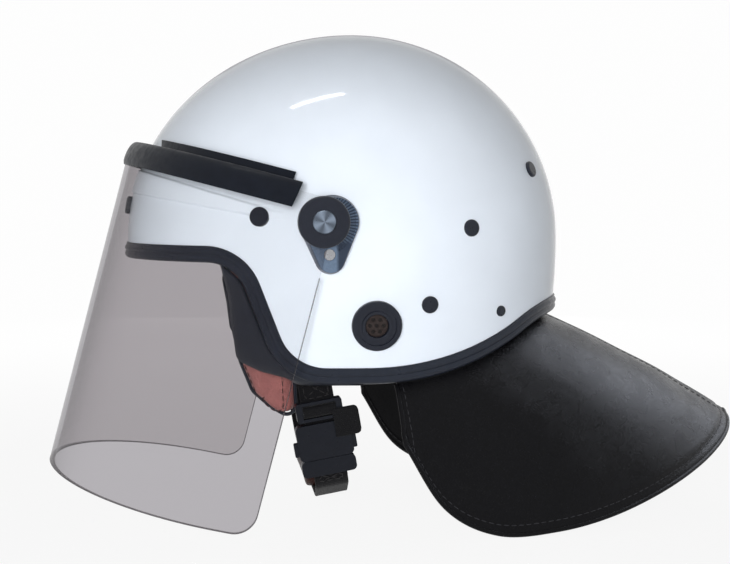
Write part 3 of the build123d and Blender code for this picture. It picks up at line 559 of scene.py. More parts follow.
def turned_piece(name, origin, axis, outline, material, count=40):
    """Round piece about an axis, from (radius, height) points that run from rim to middle."""
    side = axis.orthogonal().normalized()
    up = axis.cross(side)
    verts = []
    for radius, height in outline:
        for k in range(count):
            turn = 2 * math.pi * k / count
            verts.append(origin + axis * height + (side * math.cos(turn) + up * math.sin(turn)) * radius)
    return new_piece(name, verts, tube_faces(len(outline), count), material)


def rounded_line(corners, radii, gap, closed=False):
    """Line through corners in a plane, with its corners rounded and points at equal distances."""
    corners = [Vector(c) for c in corners]
    if closed:
        line = []
        for i, radius in enumerate(radii):
            line += round_corner(corners[i - 1], corners[i], corners[(i + 1) % len(corners)], radius)
    else:
        line = [corners[0]]
        for i, radius in enumerate(radii, 1):
            line += round_corner(corners[i - 1], corners[i], corners[i + 1], radius)
        line.append(corners[-1])
    return even(line, gap, closed)


def mirrored(obj, name):
    """Copy of a piece on the wearer's right."""
    twin = obj.copy()
    twin.data = obj.data.copy()
    twin.name = name
    twin.data.transform(Matrix.Scale(-1, 4, (1, 0, 0)))
    twin.data.flip_normals()
    bpy.context.scene.collection.objects.link(twin)
    return twin


def apply_modifiers(obj):
    """Fixes what the modifiers give as the piece's own mesh."""
    graph = bpy.context.evaluated_depsgraph_get()
    mesh = bpy.data.meshes.new_from_object(obj.evaluated_get(graph))
    obj.modifiers.clear()
    obj.data = mesh
    return obj


def weld(obj):
    """Joins the points that the CAD mesh repeats along its edges."""
    obj.modifiers.new("weld", "WELD").merge_threshold = WELD_GAP


def break_edges(obj, width, segments):
    """Rounds every sharp edge a little."""
    bevel = obj.modifiers.new("broken_edges", "BEVEL")
    bevel.width = width
    bevel.segments = segments
    bevel.limit_method = "ANGLE"
    bevel.angle_limit = math.radians(SHARP_ANGLE)
    bevel.use_clamp_overlap = True
    smooth_faces(obj)


def rounded(node, width, segments=2):
    """Breaks the sharp edges of a machined or moulded CAD node."""
    weld(nodes[node])
    break_edges(nodes[node], width, segments)


def cut_away(obj, cutter):
    """Takes a cutter's shape out of a piece, and then the cutter away."""
    cut = obj.modifiers.new("cut", "BOOLEAN")
    cut.operation = "DIFFERENCE"
    cut.solver = "EXACT"
    cut.object = cutter
    apply_modifiers(obj)
    bpy.data.objects.remove(cutter)


def smooth_faces(obj):
    """Smooth shading over a whole piece."""
    for polygon in obj.data.polygons:
        polygon.use_smooth = True


def finish_node(node, material):
    """Gives a CAD node its finish."""
    obj = nodes[node]
    obj.data.materials.clear()
    obj.data.materials.append(material)
    return obj


def piece(obj, body, slot, *replaced):
    """Rides a piece on its body and hides the nodes that it stands for. Its slot is not used."""
    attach(obj, body)
    if replaced:
        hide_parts(*replaced)
    return obj


# Finishes


class Finish:
    """Node material with object coordinates, so that a detail keeps its real scale."""

    def __init__(self, name, colour, roughness):
        self.material = bpy.data.materials.get(name) or bpy.data.materials.new(name)
        self.material.use_nodes = True
        self.tree = self.material.node_tree
        self.tree.nodes.clear()
        self.output = self.add("ShaderNodeOutputMaterial")
        self.shader = self.add("ShaderNodeBsdfPrincipled")
        self.tree.links.new(self.shader.outputs["BSDF"], self.output.inputs["Surface"])
        self.set("Base Color", (*colour, 1))
        self.set("Roughness", roughness)
        self.place = self.add("ShaderNodeTexCoord").outputs["Object"]
        self.height = None

    def add(self, kind, **values):
        """New node with its settings."""
        node = self.tree.nodes.new(kind)
        for key, value in values.items():
            setattr(node, key, value)
        return node

    def set(self, socket, value):
        """Constant on the shader's own socket."""
        self.shader.inputs[socket].default_value = value

    def link(self, source, target):
        """Wire between two sockets."""
        self.tree.links.new(source, target)

    def axes(self, vector):
        """X, Y and Z of a vector."""
        parts = self.add("ShaderNodeSeparateXYZ")
        self.link(vector, parts.inputs["Vector"])
        return parts.outputs

    def length(self, vector):
        """Length of a vector."""
        node = self.add("ShaderNodeVectorMath", operation="LENGTH")
        self.link(vector, node.inputs[0])
        return node.outputs["Value"]

    def stretched(self, scale, turn=(0, 0, 0), shift=(0, 0, 0)):
        """Object coordinates, scaled, turned and shifted."""
        mapping = self.add("ShaderNodeMapping")
        mapping.inputs["Scale"].default_value = scale
        mapping.inputs["Rotation"].default_value = turn
        mapping.inputs["Location"].default_value = shift
        self.link(self.place, mapping.inputs["Vector"])
        return mapping.outputs["Vector"]

    def speckle(self, width, detail=3.0, where=None):
        """Noise with cells of a real width."""
        node = self.add("ShaderNodeTexNoise")
        node.inputs["Scale"].default_value = 1 / width
        node.inputs["Detail"].default_value = detail
        self.link(where or self.place, node.inputs["Vector"])
        return node.outputs["Fac"]

    def furrows(self, width):
        """Distance from the borders of cells of a real width."""
        node = self.add("ShaderNodeTexVoronoi", feature="DISTANCE_TO_EDGE")
        node.inputs["Scale"].default_value = 1 / width
        self.link(self.place, node.inputs["Vector"])
        return node.outputs["Distance"]

    def waves(self, width, where, direction, kind="BANDS", distortion=0.0):
        """Bands across a direction, or rings about it, of a real width."""
        node = self.add("ShaderNodeTexWave", wave_type=kind)
        node.bands_direction = node.rings_direction = direction
        node.inputs["Scale"].default_value = 1 / width / WAVES_PER_UNIT
        node.inputs["Distortion"].default_value = distortion
        self.link(where, node.inputs["Vector"])
        return node.outputs["Fac"]

    def ramp(self, source, low, high, low_value, high_value):
        """Straight ramp between two values, held at both ends."""
        node = self.add("ShaderNodeMapRange")
        ends = {"From Min": low, "From Max": high, "To Min": low_value, "To Max": high_value}
        for key, value in ends.items():
            node.inputs[key].default_value = value
        self.link(source, node.inputs["Value"])
        return node.outputs["Result"]

    def math(self, operation, a, b):
        """Calculation with two sockets or numbers."""
        node = self.add("ShaderNodeMath", operation=operation)
        for socket, value in zip(node.inputs, (a, b)):
            if isinstance(value, (int, float)):
                socket.default_value = value
            else:
                self.link(value, socket)
        return node.outputs["Value"]

    def sectors(self, where, count=4.0):
        """Light and dark sectors about the X axis: painted reflection on turned metal, and teeth on the pivot
        base.
        """
        parts = self.axes(where)
        turn = self.math("ARCTAN2", parts["Z"], parts["Y"])
        wave = self.math("SINE", self.math("MULTIPLY", turn, count), 0.0)
        return self.ramp(wave, -1.0, 1.0, 0.0, 1.0)

    def two_tone(self, first, second, share):
        """Colour between two tones."""
        node = self.add("ShaderNodeMix", data_type="RGBA")
        node.inputs["A"].default_value = (*first, 1)
        node.inputs["B"].default_value = (*second, 1)
        self.link(share, node.inputs["Factor"])
        self.link(node.outputs["Result"], self.shader.inputs["Base Color"])

    def uneven_gloss(self, source, low, high, low_value, high_value):
        """Roughness that wanders between two values."""
        self.link(self.ramp(source, low, high, low_value, high_value), self.shader.inputs["Roughness"])

    def raise_by(self, source, depth, strength=1.0):
        """Relief of a real depth."""
        bump = self.add("ShaderNodeBump")
        bump.inputs["Strength"].default_value = strength
        bump.inputs["Distance"].default_value = depth
        self.link(source, bump.inputs["Height"])
        if self.height:
            self.link(self.height, bump.inputs["Normal"])
        self.height = bump.outputs["Normal"]
        self.link(self.height, self.shader.inputs["Normal"])


def scaled(colour, factor):
    """Lighter or darker tone of a colour."""
    return tuple(min(1.0, c * factor) for c in colour)


def shell_gloss():
    """Glossy moulded shell with a faint cloudiness and ripple."""
    colour = colours().shell
    finish = Finish("shell_gloss", colour, 0.09)
    cloud = finish.ramp(finish.speckle(0.05, 2.0), 0.35, 0.65, 0, 1)
    finish.two_tone(scaled(colour, 0.98), scaled(colour, 1.02), cloud)
    finish.uneven_gloss(finish.speckle(0.012, 4.0), 0.3, 0.75, 0.07, 0.12)
    finish.raise_by(finish.speckle(0.009, 1.0), 0.00005, 0.3)
    finish.set("Specular IOR Level", 0.28)
    return finish.material


def rubber(name, roughness, shade=1.0):
    """Satin rubber with a fine skin."""
    colour = scaled(colours().rubber, shade)
    finish = Finish(name, colour, roughness)
    finish.two_tone(scaled(colour, 0.8), scaled(colour, 1.5), finish.speckle(0.006, 5.0))
    finish.uneven_gloss(finish.speckle(0.004, 4.0), 0.3, 0.7, roughness - 0.07, roughness + 0.12)
    finish.raise_by(finish.speckle(0.0006, 3.0), 0.00003, 0.4)
    finish.set("Specular IOR Level", 0.3 * shade)
    return finish.material


def leather(name, colour, roughness, depth=0.00022, sheen=0.0, grain=None, gloss=0.5):
    """Grained leather: small cells between fine furrows, with wear on the gloss."""
    width = grain or sizes().grain
    finish = Finish(name, colour, roughness)
    wander = finish.speckle(width * 6, 3.0)
    cell = finish.ramp(finish.furrows(width), 0.0, 0.22, 0.0, 1.0)
    shade = finish.math("MULTIPLY", cell, finish.ramp(wander, 0.25, 0.75, 0.45, 1.0))
    finish.two_tone(scaled(colour, 0.62), scaled(colour, 1.25), shade)
    finish.uneven_gloss(finish.speckle(width * 14, 4.0), 0.3, 0.7, roughness - 0.07, roughness + 0.1)
    finish.raise_by(finish.speckle(width * 9, 3.0), depth * 2.2, 0.35)
    finish.raise_by(cell, depth, 0.55)
    finish.raise_by(finish.speckle(width * 0.45, 2.0), depth * 0.4, 0.3)
    finish.set("Sheen Weight", sheen)
    finish.set("Specular IOR Level", gloss)
    return finish.material


def felt(name, colour):
    """Pressed felt: loose fibres and no gloss."""
    finish = Finish(name, colour, 0.95)
    fibre = finish.speckle(0.0006, 6.0, finish.stretched((1, 1, 3)))
    finish.two_tone(scaled(colour, 0.5), scaled(colour, 1.6), fibre)
    finish.uneven_gloss(fibre, 0.3, 0.7, 0.88, 1.0)
    finish.raise_by(fibre, 0.0002, 0.8)
    finish.set("Sheen Weight", 0.2)
    return finish.material


def plastic(name, colour, roughness, gloss=0.3):
    """Moulded plastic with a fine texture."""
    finish = Finish(name, colour, roughness)
    finish.two_tone(scaled(colour, 0.85), scaled(colour, 1.35), finish.speckle(0.003, 5.0))
    finish.uneven_gloss(finish.speckle(0.0022, 4.0), 0.3, 0.7, roughness - 0.08, roughness + 0.1)
    finish.raise_by(finish.speckle(0.00045, 2.0), 0.00004, 0.5)
    finish.set("Specular IOR Level", gloss)
    return finish.material


def metal(name, colour, roughness, to_centre=None):
    """Metal with turned rings and painted reflection sectors about a centre, or with straight brushing."""
    finish = Finish(name, colour, roughness)
    finish.set("Metallic", 1.0)
    if to_centre:
        where = finish.stretched((1, 1, 1), shift=to_centre)
        finish.raise_by(finish.waves(0.00035, where, "X", "RINGS", 0.4), 0.00002, 0.4)
        # Painted reflection: light and dark sectors about the centre stand in for the turned metal's glints
        finish.two_tone(scaled(colour, 0.62), scaled(colour, 1.5), finish.sectors(where))
        finish.set("Anisotropic", 0.7)
        around = finish.add("ShaderNodeTangent", direction_type="RADIAL", axis="X")
        finish.link(around.outputs["Tangent"], finish.shader.inputs["Tangent"])
    else:
        where = finish.stretched((1, 12, 1))
        finish.raise_by(finish.speckle(0.0012, 3.0, where), 0.00002, 0.4)
        finish.two_tone(scaled(colour, 0.85), scaled(colour, 1.1), finish.speckle(0.0018, 3.0))
    finish.uneven_gloss(finish.speckle(0.0014, 4.0), 0.3, 0.7, roughness - 0.08, roughness + 0.12)
    return finish.material


def woven(name, colour, yarn, depth, turn=(0, 0, 0)):
    """Plain weave: two crossed sets of yarns."""
    finish = Finish(name, colour, 0.75)
    where = finish.stretched((1, 1, 1), turn)
    over = finish.math("MULTIPLY", finish.waves(yarn, where, "Y"), finish.waves(yarn, where, "Z"))
    fuzz = finish.speckle(yarn * 0.5, 3.0)
    worn = finish.math("MULTIPLY", over, finish.ramp(fuzz, 0.3, 0.7, 0.5, 1.2))
    finish.two_tone(scaled(colour, 0.6), scaled(colour, 1.7), worn)
    finish.uneven_gloss(fuzz, 0.3, 0.7, 0.62, 0.88)
    finish.raise_by(over, depth, 0.8)
    finish.raise_by(fuzz, depth * 0.4, 0.4)
    finish.set("Sheen Weight", 0.05)
    finish.set("Specular IOR Level", 0.2)
    return finish.material


def foam():
    """Expanded foam with its beads."""
    colour = (0.022, 0.022, 0.025)
    finish = Finish("liner_foam", colour, 0.85)
    beads = finish.furrows(0.0035)
    finish.two_tone(scaled(colour, 0.6), scaled(colour, 1.4), finish.ramp(beads, 0.0, 0.2, 0.0, 1.0))
    finish.uneven_gloss(finish.speckle(0.004, 4.0), 0.3, 0.7, 0.75, 0.95)
    finish.raise_by(finish.ramp(beads, 0.0, 0.15, 0.0, 1.0), 0.00025, 0.6)
    return finish.material


def base_alloy():
    """Painted alloy: dark round the knob and on its rear flank, bare foot, teeth along its rim, and painted
    shade on faces that turn away from the side.
    """
    finish = Finish("base_alloy", colours().base_lower, 0.4)
    finish.set("Metallic", 0.6)
    _, along, height = finish.axes(finish.place)
    foot = finish.ramp(height, *(PIVOT[1] * MM - drop for drop in BASE_FOOT), 0.0, 1.0)
    flank = finish.ramp(along, *BASE_FLANK, 1.0, BASE_DARK)
    bare = finish.math("MULTIPLY", foot, flank)
    rim = finish.length(finish.stretched((0, 1, 1), shift=TO_PIVOT))
    ring = finish.ramp(rim, *BASE_TEETH, 0.0, 0.75)
    teeth = finish.sectors(finish.stretched((1, 1, 1), shift=TO_PIVOT), BASE_TEETH_COUNT)
    above = finish.ramp(height, *(PIVOT[1] * MM - drop for drop in BASE_TEETH_END), 0.0, 1.0)
    teeth = finish.math("MULTIPLY", finish.math("MULTIPLY", ring, teeth), above)
    bare = finish.math("MAXIMUM", bare, teeth)
    # Painted shade: faces whose normal turns away from the helmet's side take the dark tone, as unlit sides
    # would
    normal = finish.add("ShaderNodeNewGeometry").outputs["Normal"]
    face = finish.ramp(finish.math("ABSOLUTE", finish.axes(normal)["X"], 0.0), 0.9, 0.99, BASE_DARK, 1.0)
    worn = finish.ramp(finish.speckle(0.0016, 4.0), 0.3, 0.7, 0.8, 1.0)
    share = finish.math("MULTIPLY", finish.math("MULTIPLY", bare, face), worn)
    finish.two_tone(colours().base_upper, scaled(colours().base_lower, 1.1), share)
    finish.uneven_gloss(finish.speckle(0.0014, 4.0), 0.3, 0.7, 0.33, 0.5)
    finish.raise_by(finish.speckle(0.0007, 4.0), 0.00006, 0.5)
    return finish.material


def clear_sheet(name, density, grazing):
    """Clear sheet: each face holds back a little light, and more at a low angle, under a clear gloss."""
    finish = Finish(name, colours().visor, 0.06)
    finish.set("IOR", 1.58)
    haze = finish.speckle(0.03, 3.0)
    finish.two_tone(scaled(colours().visor, 0.9), scaled(colours().visor, 1.15), haze)
    finish.uneven_gloss(finish.speckle(0.006, 5.0), 0.3, 0.7, 0.04, 0.09)
    finish.raise_by(finish.speckle(0.05, 1.0), 0.0002, 0.15)
    facing = finish.math("POWER", finish.add("ShaderNodeLayerWeight").outputs["Facing"], 5.0)
    finish.link(finish.ramp(facing, 0.0, 1.0, density, grazing), finish.shader.inputs["Alpha"])
    return finish.material


def seen_surroundings(tree):
    """White for the eye, gloss and glass, grey behind the visor's walls, and which rays see it."""

    def join(operation, a, b):
        node = tree.nodes.new("ShaderNodeMath")
        node.operation = operation
        for socket, value in zip(node.inputs, (a, b)):
            if isinstance(value, float):
                socket.default_value = value
            else:
                tree.links.new(value, socket)
        return node.outputs["Value"]

    path = tree.nodes.new("ShaderNodeLightPath")
    seen = join("MAXIMUM", path.outputs["Is Camera Ray"], path.outputs["Is Glossy Ray"])
    seen = join("MAXIMUM", seen, path.outputs["Is Transmission Ray"])
    colour = None
    for faces, tone in ((2.0, colours().behind_one), (4.0, colours().behind_two)):
        passed = join("GREATER_THAN", path.outputs["Transparent Depth"], faces - 1.5)
        mix = tree.nodes.new("ShaderNodeMix")
        mix.data_type = "RGBA"
        mix.inputs["A"].default_value = (1, 1, 1, 1)
        mix.inputs["B"].default_value = (*tone, 1)
        tree.links.new(passed, mix.inputs["Factor"])
        if colour:
            tree.links.new(colour, mix.inputs["A"])
        colour = mix.outputs["Result"]
    return colour, seen


# Soft pieces


def core(node, name, material):
    """Copy of a CAD solid, to start a piece from."""
    obj = nodes[node].copy()
    obj.data = nodes[node].data.copy()
    obj.name = name
    obj.parent = None
    for key in list(obj.keys()):
        if key.startswith("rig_"):
            del obj[key]
    bpy.context.scene.collection.objects.link(obj)
    obj.data.materials.clear()
    obj.data.materials.append(material)
    return obj


def puffed(obj, voxel, inset=0.0012, most=0.0035):
    """Cushion from a plain solid: pulled in a little, then blown up as cloth against its seams."""
    bm = bmesh.new()
    bm.from_mesh(obj.data)
    bmesh.ops.remove_doubles(bm, verts=bm.verts, dist=WELD_GAP)
    bmesh.ops.recalc_face_normals(bm, faces=bm.faces)
    bm.to_mesh(obj.data)
    bm.free()
    remesh = obj.modifiers.new("even_mesh", "REMESH")
    remesh.mode = "VOXEL"
    remesh.voxel_size = voxel
    apply_modifiers(obj)
    for vertex, normal in zip(obj.data.vertices, [v.normal.copy() for v in obj.data.vertices]):
        vertex.co -= normal * inset
    blow_up(obj, most)
    subdivide = obj.modifiers.new("finer", "SUBSURF")
    subdivide.levels = subdivide.render_levels = 1
    apply_modifiers(obj)
    smooth_faces(obj)
    return obj


def blow_up(obj, most):
    """Cloth under pressure, with each point held within a distance of where it was."""
    rest = [v.co.copy() for v in obj.data.vertices]
    cloth = obj.modifiers.new("cloth", "CLOTH")
    settings = cloth.settings
    settings.quality = 5
    settings.mass = 0.15
    settings.tension_stiffness = settings.compression_stiffness = 12
    settings.bending_stiffness = 0.6
    settings.use_pressure = True
    settings.uniform_pressure_force = 4.0
    settings.effector_weights.gravity = 0.0
    scene = bpy.context.scene
    steps = sizes().puff_steps
    cloth.point_cache.frame_start, cloth.point_cache.frame_end = 1, steps
    for step in range(1, steps + 1):
        scene.frame_set(step)
    graph = bpy.context.evaluated_depsgraph_get()
    moved = [v.co.copy() for v in obj.evaluated_get(graph).data.vertices]
    obj.modifiers.clear()
    scene.frame_set(1)
    for vertex, start, end in zip(obj.data.vertices, rest, moved):
        shift = end - start
        if shift.length > most:
            shift *= most / shift.length
        vertex.co = start + shift


# Operators


class HELMET_OT_shell(Operator):
    """Moulded shell with its brow band"""

    bl_idname = "helmet.shell"
    bl_label = "Shell"

    def execute(self, context):
        columns, crown_rows, low_rows = 480, 64, 40
        turns = [2 * math.pi * c / columns for c in range(columns)]
        verts = [Vector((0, DOME_Y, DOME_Z + DOME_HEIGHT))]
        crown_turns = [math.radians(65) * r / crown_rows for r in range(1, crown_rows + 1)]
        heights = [DOME_Z + DOME_HEIGHT * math.cos(turn) for turn in crown_turns]
        # Rows lie close together where the band has its steps
        heights += list(np.arange(107.6, 60.0, -0.4)) + list(np.arange(59.5, DOME_Z, -1.5))
        rows = [[float(height)] * columns for height in heights]
        edges = [edge_height_at(turn) for turn in turns]
        for r in range(1, low_rows + 1):
            share = r / low_rows
            rows.append([DOME_Z + (edge - DOME_Z) * share for edge in edges])
        for row in rows:
            for turn, z in zip(turns, row):
                point = dome_point(turn, z)
                verts.append(point + dome_normal(point) * self.band_rise(point))
        faces = [(0, 1 + c, 1 + (c + 1) % columns) for c in range(columns)]
        faces += grid_faces(len(rows), columns, closed_columns=True, start=1)
        shell = new_piece("shell_moulding", verts, faces, shell_gloss())
        solid = shell.modifiers.new("wall", "SOLIDIFY")
        solid.thickness = sizes().shell_wall
        solid.offset = -1.0
        apply_modifiers(shell)
        smooth_faces(shell)
        piece(shell, "helmet", "shell_white", "shell")
        return {"FINISHED"}

    @staticmethod
    def band_rise(point):
        """Height of the moulded band at a point of the dome, in millimetres."""
        y, z = point.y, point.z
        if y > BAND_END:
            return 0.0
        top = float(np.interp(y, *zip(*BAND_TOP)))
        low = float(np.interp(y, *zip(*BAND_LOW)))
        inside = 1.0
        for distance in (top - z, z - low):
            share = max(0.0, min(1.0, distance / BAND_STEP + 0.5))
            inside *= share * share * (3 - 2 * share)
        fade = max(0.0, min(1.0, (BAND_END - y) / BAND_FADE))
        return sizes().band_rise / MM * inside * fade


class HELMET_OT_trim(Operator):
    """Extruded rubber trim on the shell's edge"""

    bl_idname = "helmet.trim"
    bl_label = "Rim trim"

    def execute(self, context):
        path = edge_loop()
        along = tangents(path, closed=True)
        sides = []
        for point, tangent in zip(path, along):
            out = dome_normal(point)
            sides.append((out, tangent.cross(out).normalized()))
        if sides[0][1].z > 0:
            sides = [(out, -side) for out, side in sides]
        trim = sweep("trim_profile", path, sides, TRIM_PROFILE, rubber("trim_rubber", 0.34), closed=True)
        piece(trim, "helmet", "trim_rubber", "rim_trim")
        return {"FINISHED"}


class HELMET_OT_edging(Operator):
    """Padded edging down each side of the face opening"""

    bl_idname = "helmet.edging"
    bl_label = "Face edging"

    def execute(self, context):
        first, last = EDGING_STRETCH
        outer = [Vector(EDGING_START)] + [Vector(p) for p in zip(EDGE_Y, EDGE_Z) if first <= p[0] <= last]
        outer = even(outer, 2.0)
        inner = rounded_line(EDGING_CORNERS, EDGING_RADII, 2.0)
        count = 60
        outer = even(outer, sum((b - a).length for a, b in zip(outer, outer[1:])) / count)
        inner = even(inner, sum((b - a).length for a, b in zip(inner, inner[1:])) / count)
        across = 12
        shares = [i / across for i in range(across + 1)]
        verts = []
        for a, b in zip(outer, inner):
            start = a + (b - a).normalized() * min(EDGING_GROOVE, (b - a).length * 0.4)
            for face, steps in ((EDGING_OUTER_FACE, shares), (EDGING_INNER_FACE, shares[::-1])):
                depth, swell, power = face
                for share in steps:
                    place = start.lerp(b, share)
                    crown = 1 - abs(2 * share - 1) ** power
                    verts.append(dome_side(place.x, place.y, depth + swell * crown))
        columns = 2 * (across + 1)
        faces = tube_faces(len(verts) // columns, columns)
        material = leather("edging_leather", colours().rubber, 0.42, 0.00012, grain=0.0008)
        left = new_piece("face_padding_left", verts, faces, material)
        right = mirrored(left, "face_padding_right")
        for side, obj in (("left", left), ("right", right)):
            piece(obj, "helmet", "edging_rubber", f"face_edging_{side}")
        return {"FINISHED"}


class HELMET_OT_lining(Operator):
    """Foam liner with its crown, brow and nape cushions"""

    bl_idname = "helmet.lining"
    bl_label = "Lining"

    def execute(self, context):
        finish_node("impact_liner", foam())
        cloth = woven("pad_cloth", colours().cloth, 0.0014, 0.00018)
        for name in ("crown", "brow", "nape"):
            cushion = puffed(core(f"{name}_pad", f"{name}_cushion", cloth), voxel=0.005)
            piece(cushion, "helmet", "pad_cloth", f"{name}_pad")
        return {"FINISHED"}


class HELMET_OT_cheek_pads(Operator):
    """Brown leather cheek pads with their dark binding"""

    bl_idname = "helmet.cheek_pads"
    bl_label = "Cheek pads"

    def execute(self, context):
        skin = leather("cheek_leather", colours().pad_leather, 0.48, 0.0002, sheen=0.05, gloss=0.35)
        bound = leather("binding_leather", colours().rubber, 0.4, 0.00012, grain=0.0008)
        thread = plastic("cheek_thread", (0.05, 0.02, 0.018), 0.6)
        origin, out, across, up = dome_seat(*PAD_PLACE, -PAD_INSET)
        flat = rounded_line(PAD_CORNERS, PAD_RADII, 1.6, closed=True)

        def loop(depth, inset):
            """The pad's outline at a depth, drawn in."""
            base = origin - out * depth
            return [base + across * p.x + up * p.y - self.outward(p, across, up) * inset for p in flat]

        rings = [loop(*place) for place in PAD_RINGS]
        faces = tube_faces(len(rings), len(flat))
        pad = new_piece("cheek_cushion_left", [point for ring in rings for point in ring], faces, skin)
        puffed(pad, voxel=0.003, inset=0.0010, most=0.0028)
        path = loop(7.5, -0.5)
        binding = cord_round("cheek_binding_left", path, [out] * len(path), 1.2, bound, closed=True)
        seam = loop(1.4, 5.0)
        sewn = stitches("cheek_stitches_left", seam + seam[:1], [out] * len(seam), thread, lift=0.9)
        for left in (pad, binding, sewn):
            right = mirrored(left, left.name.replace("left", "right"))
            for side, obj in (("left", left), ("right", right)):
                if left is pad:
                    piece(obj, "helmet", "pad_leather", f"cheek_pad_{side}")
                else:
                    piece(obj, "helmet", "pad_leather")
        return {"FINISHED"}

    @staticmethod
    def outward(point, across, up):
        """Direction in the pad's plane away from the line down its middle."""
        away = (point - Vector((0.0, max(PAD_SPINE[0], min(PAD_SPINE[1], point.y))))).normalized()
        return across * away.x + up * away.y


class HELMET_OT_ports(Operator):
    """Hearing ports with their drilled inserts and dust felts"""

    bl_idname = "helmet.ports"
    bl_label = "Hearing ports"

    def execute(self, context):
        body = plastic("port_plastic", colours().plastic, 0.38)
        insert = plastic("grille_plastic", (0.022, 0.016, 0.015), 0.6)
        origin, out, _, _ = dome_seat(*PORT_PLACE)
        dust_felt = felt("port_felt", (0.012, 0.01, 0.01))
        left = turned_piece("port_felt_left", origin, out, FELT_OUTLINE, dust_felt)
        right = mirrored(left, "port_felt_right")
        for side, obj in (("left", left), ("right", right)):
            piece(obj, "helmet", "grille_plastic")
            finish_node(f"hearing_port_{side}", body)
            finish_node(f"port_nut_{side}", body)
            finish_node(f"port_grille_{side}", insert)
            rounded(f"port_grille_{side}", 0.0003)
        return {"FINISHED"}


class HELMET_OT_caps(Operator):
    """Caps over the lining's studs and press studs on the brow band"""

    bl_idname = "helmet.caps"
    bl_label = "Caps and studs"

    def execute(self, context):
        material = plastic("cap_plastic", colours().plastic, 0.33)
        for name in ("liner_caps", "small_caps", "brow_studs"):
            finish_node(name, material)
        return {"FINISHED"}


class HELMET_OT_pivots(Operator):
    """Visor pivots: toothed base, screws, washer, knob and bolt"""

    bl_idname = "helmet.pivots"
    bl_label = "Visor pivots"

    def execute(self, context):
        base = base_alloy()
        steel = metal("screw_steel", (0.45, 0.46, 0.48), 0.30)
        knob = plastic("knob_plastic", colours().plastic, 0.36)
        washer = rubber("washer_rubber", 0.5)
        finish_node("base_screws", steel)
        finish_node("pivot_nuts", steel)
        finish_node("pivot_plates", steel)
        for side in ("left", "right"):
            finish_node(f"pivot_bolt_{side}", metal(f"bolt_steel_{side}", (0.19, 0.23, 0.29), 0.34, TO_PIVOT))
            finish_node(f"pivot_base_{side}", base)
            finish_node(f"pivot_knob_{side}", knob)
            finish_node(f"friction_washer_{side}", washer)
            finish_node(f"visor_bush_{side}", knob)
            rounded(f"pivot_base_{side}", 0.0004)
        return {"FINISHED"}


class HELMET_OT_visor(Operator):
    """Clear visor with its polished edge and the rubber seal on its top"""

    bl_idname = "helmet.visor"
    bl_label = "Visor"

    def execute(self, context):
        finish_node("visor", clear_sheet("visor_clear", colours().visor_density, 0.6))
        piece(self.seal(rubber("seal_rubber", 0.40, shade=0.5)), "visor", "seal_rubber", "visor_seal")
        path, normals = self.outline()
        sides = [(normal.cross(along), normal) for normal, along in zip(normals, tangents(path))]
        clear = clear_sheet("visor_edge_clear", 0.45, 0.8)
        piece(sweep("visor_edge", path, sides, VISOR_EDGE_PROFILE, clear), "visor", "visor_clear")
        return {"FINISHED"}

    @staticmethod
    def directions():
        """Forward and upward in the visor's leaning frame."""
        tilt = math.radians(VISOR_TILT)
        return Vector((0, -math.cos(tilt), math.sin(tilt))), Vector((0, math.sin(tilt), math.cos(tilt)))

    def seal(self, material):
        """Rubber seal with the outer corner of its skirt rolled over in a wide round."""
        forward, upward = self.directions()
        reach = VISOR_REACH - VISOR_FLAT
        count, past = 120, 4
        path, sides = [], []
        for i in range(-past, count + past + 1):
            turn = math.pi * min(max(i, 0), count) / count
            ahead = VISOR_FLAT + reach * math.sin(turn) - 5.0 * (max(-i, 0) + max(i - count, 0))
            out = Vector((math.cos(turn) / VISOR_HALF_WIDTH, 0, 0)) + forward * (math.sin(turn) / reach)
            path.append(Vector((VISOR_HALF_WIDTH * math.cos(turn), *PIVOT)) + forward * ahead)
            sides.append((out.normalized(), upward))
        turns = [math.radians(7.5 * k) for k in range(13)]
        (out, up), (wide, tall) = SEAL_ROLL
        section = [(out + wide * math.cos(turn), up + tall * math.sin(turn)) for turn in turns]
        seal = core("visor_seal", "visor_top_seal", material)
        weld(seal)
        cut_away(seal, sweep("seal_roll", path, sides, section + list(SEAL_CUT), None))
        break_edges(seal, 0.0009, 3)
        return seal

    def outline(self):
        """Middle of the sheet's edge from pivot to pivot round the bottom, with its outward directions."""
        forward, upward = self.directions()
        half, reach = VISOR_HALF_WIDTH - VISOR_WALL / 2, VISOR_REACH - VISOR_FLAT - VISOR_WALL / 2
        rear = VISOR_OUTLINE[1]
        slope = (VISOR_FRONT_DROP + rear[1]) / (VISOR_REACH + rear[0])
        flat = [(p.x, p.y, half, 1.0, 0.0) for p in rounded_line(VISOR_OUTLINE, (VISOR_CORNER,), 2.0)]
        count = 90
        for i in range(1, count + 1):
            turn = math.pi / 2 * i / count
            along = -VISOR_FLAT - reach * math.sin(turn)
            up = rear[1] - (rear[0] - along) * slope
            out = Vector((math.cos(turn) / half, math.sin(turn) / reach)).normalized()
            flat.append((along, up, half * math.cos(turn), out.x, out.y))
        flat += [(along, up, -x, -nx, ny) for along, up, x, nx, ny in reversed(flat[:-1])]
        path = [Vector((x, *PIVOT)) - forward * along + upward * up for along, up, x, _, _ in flat]
        normals = [Vector((nx, 0, 0)) + forward * ny for _, _, _, nx, ny in flat]
        return path, normals


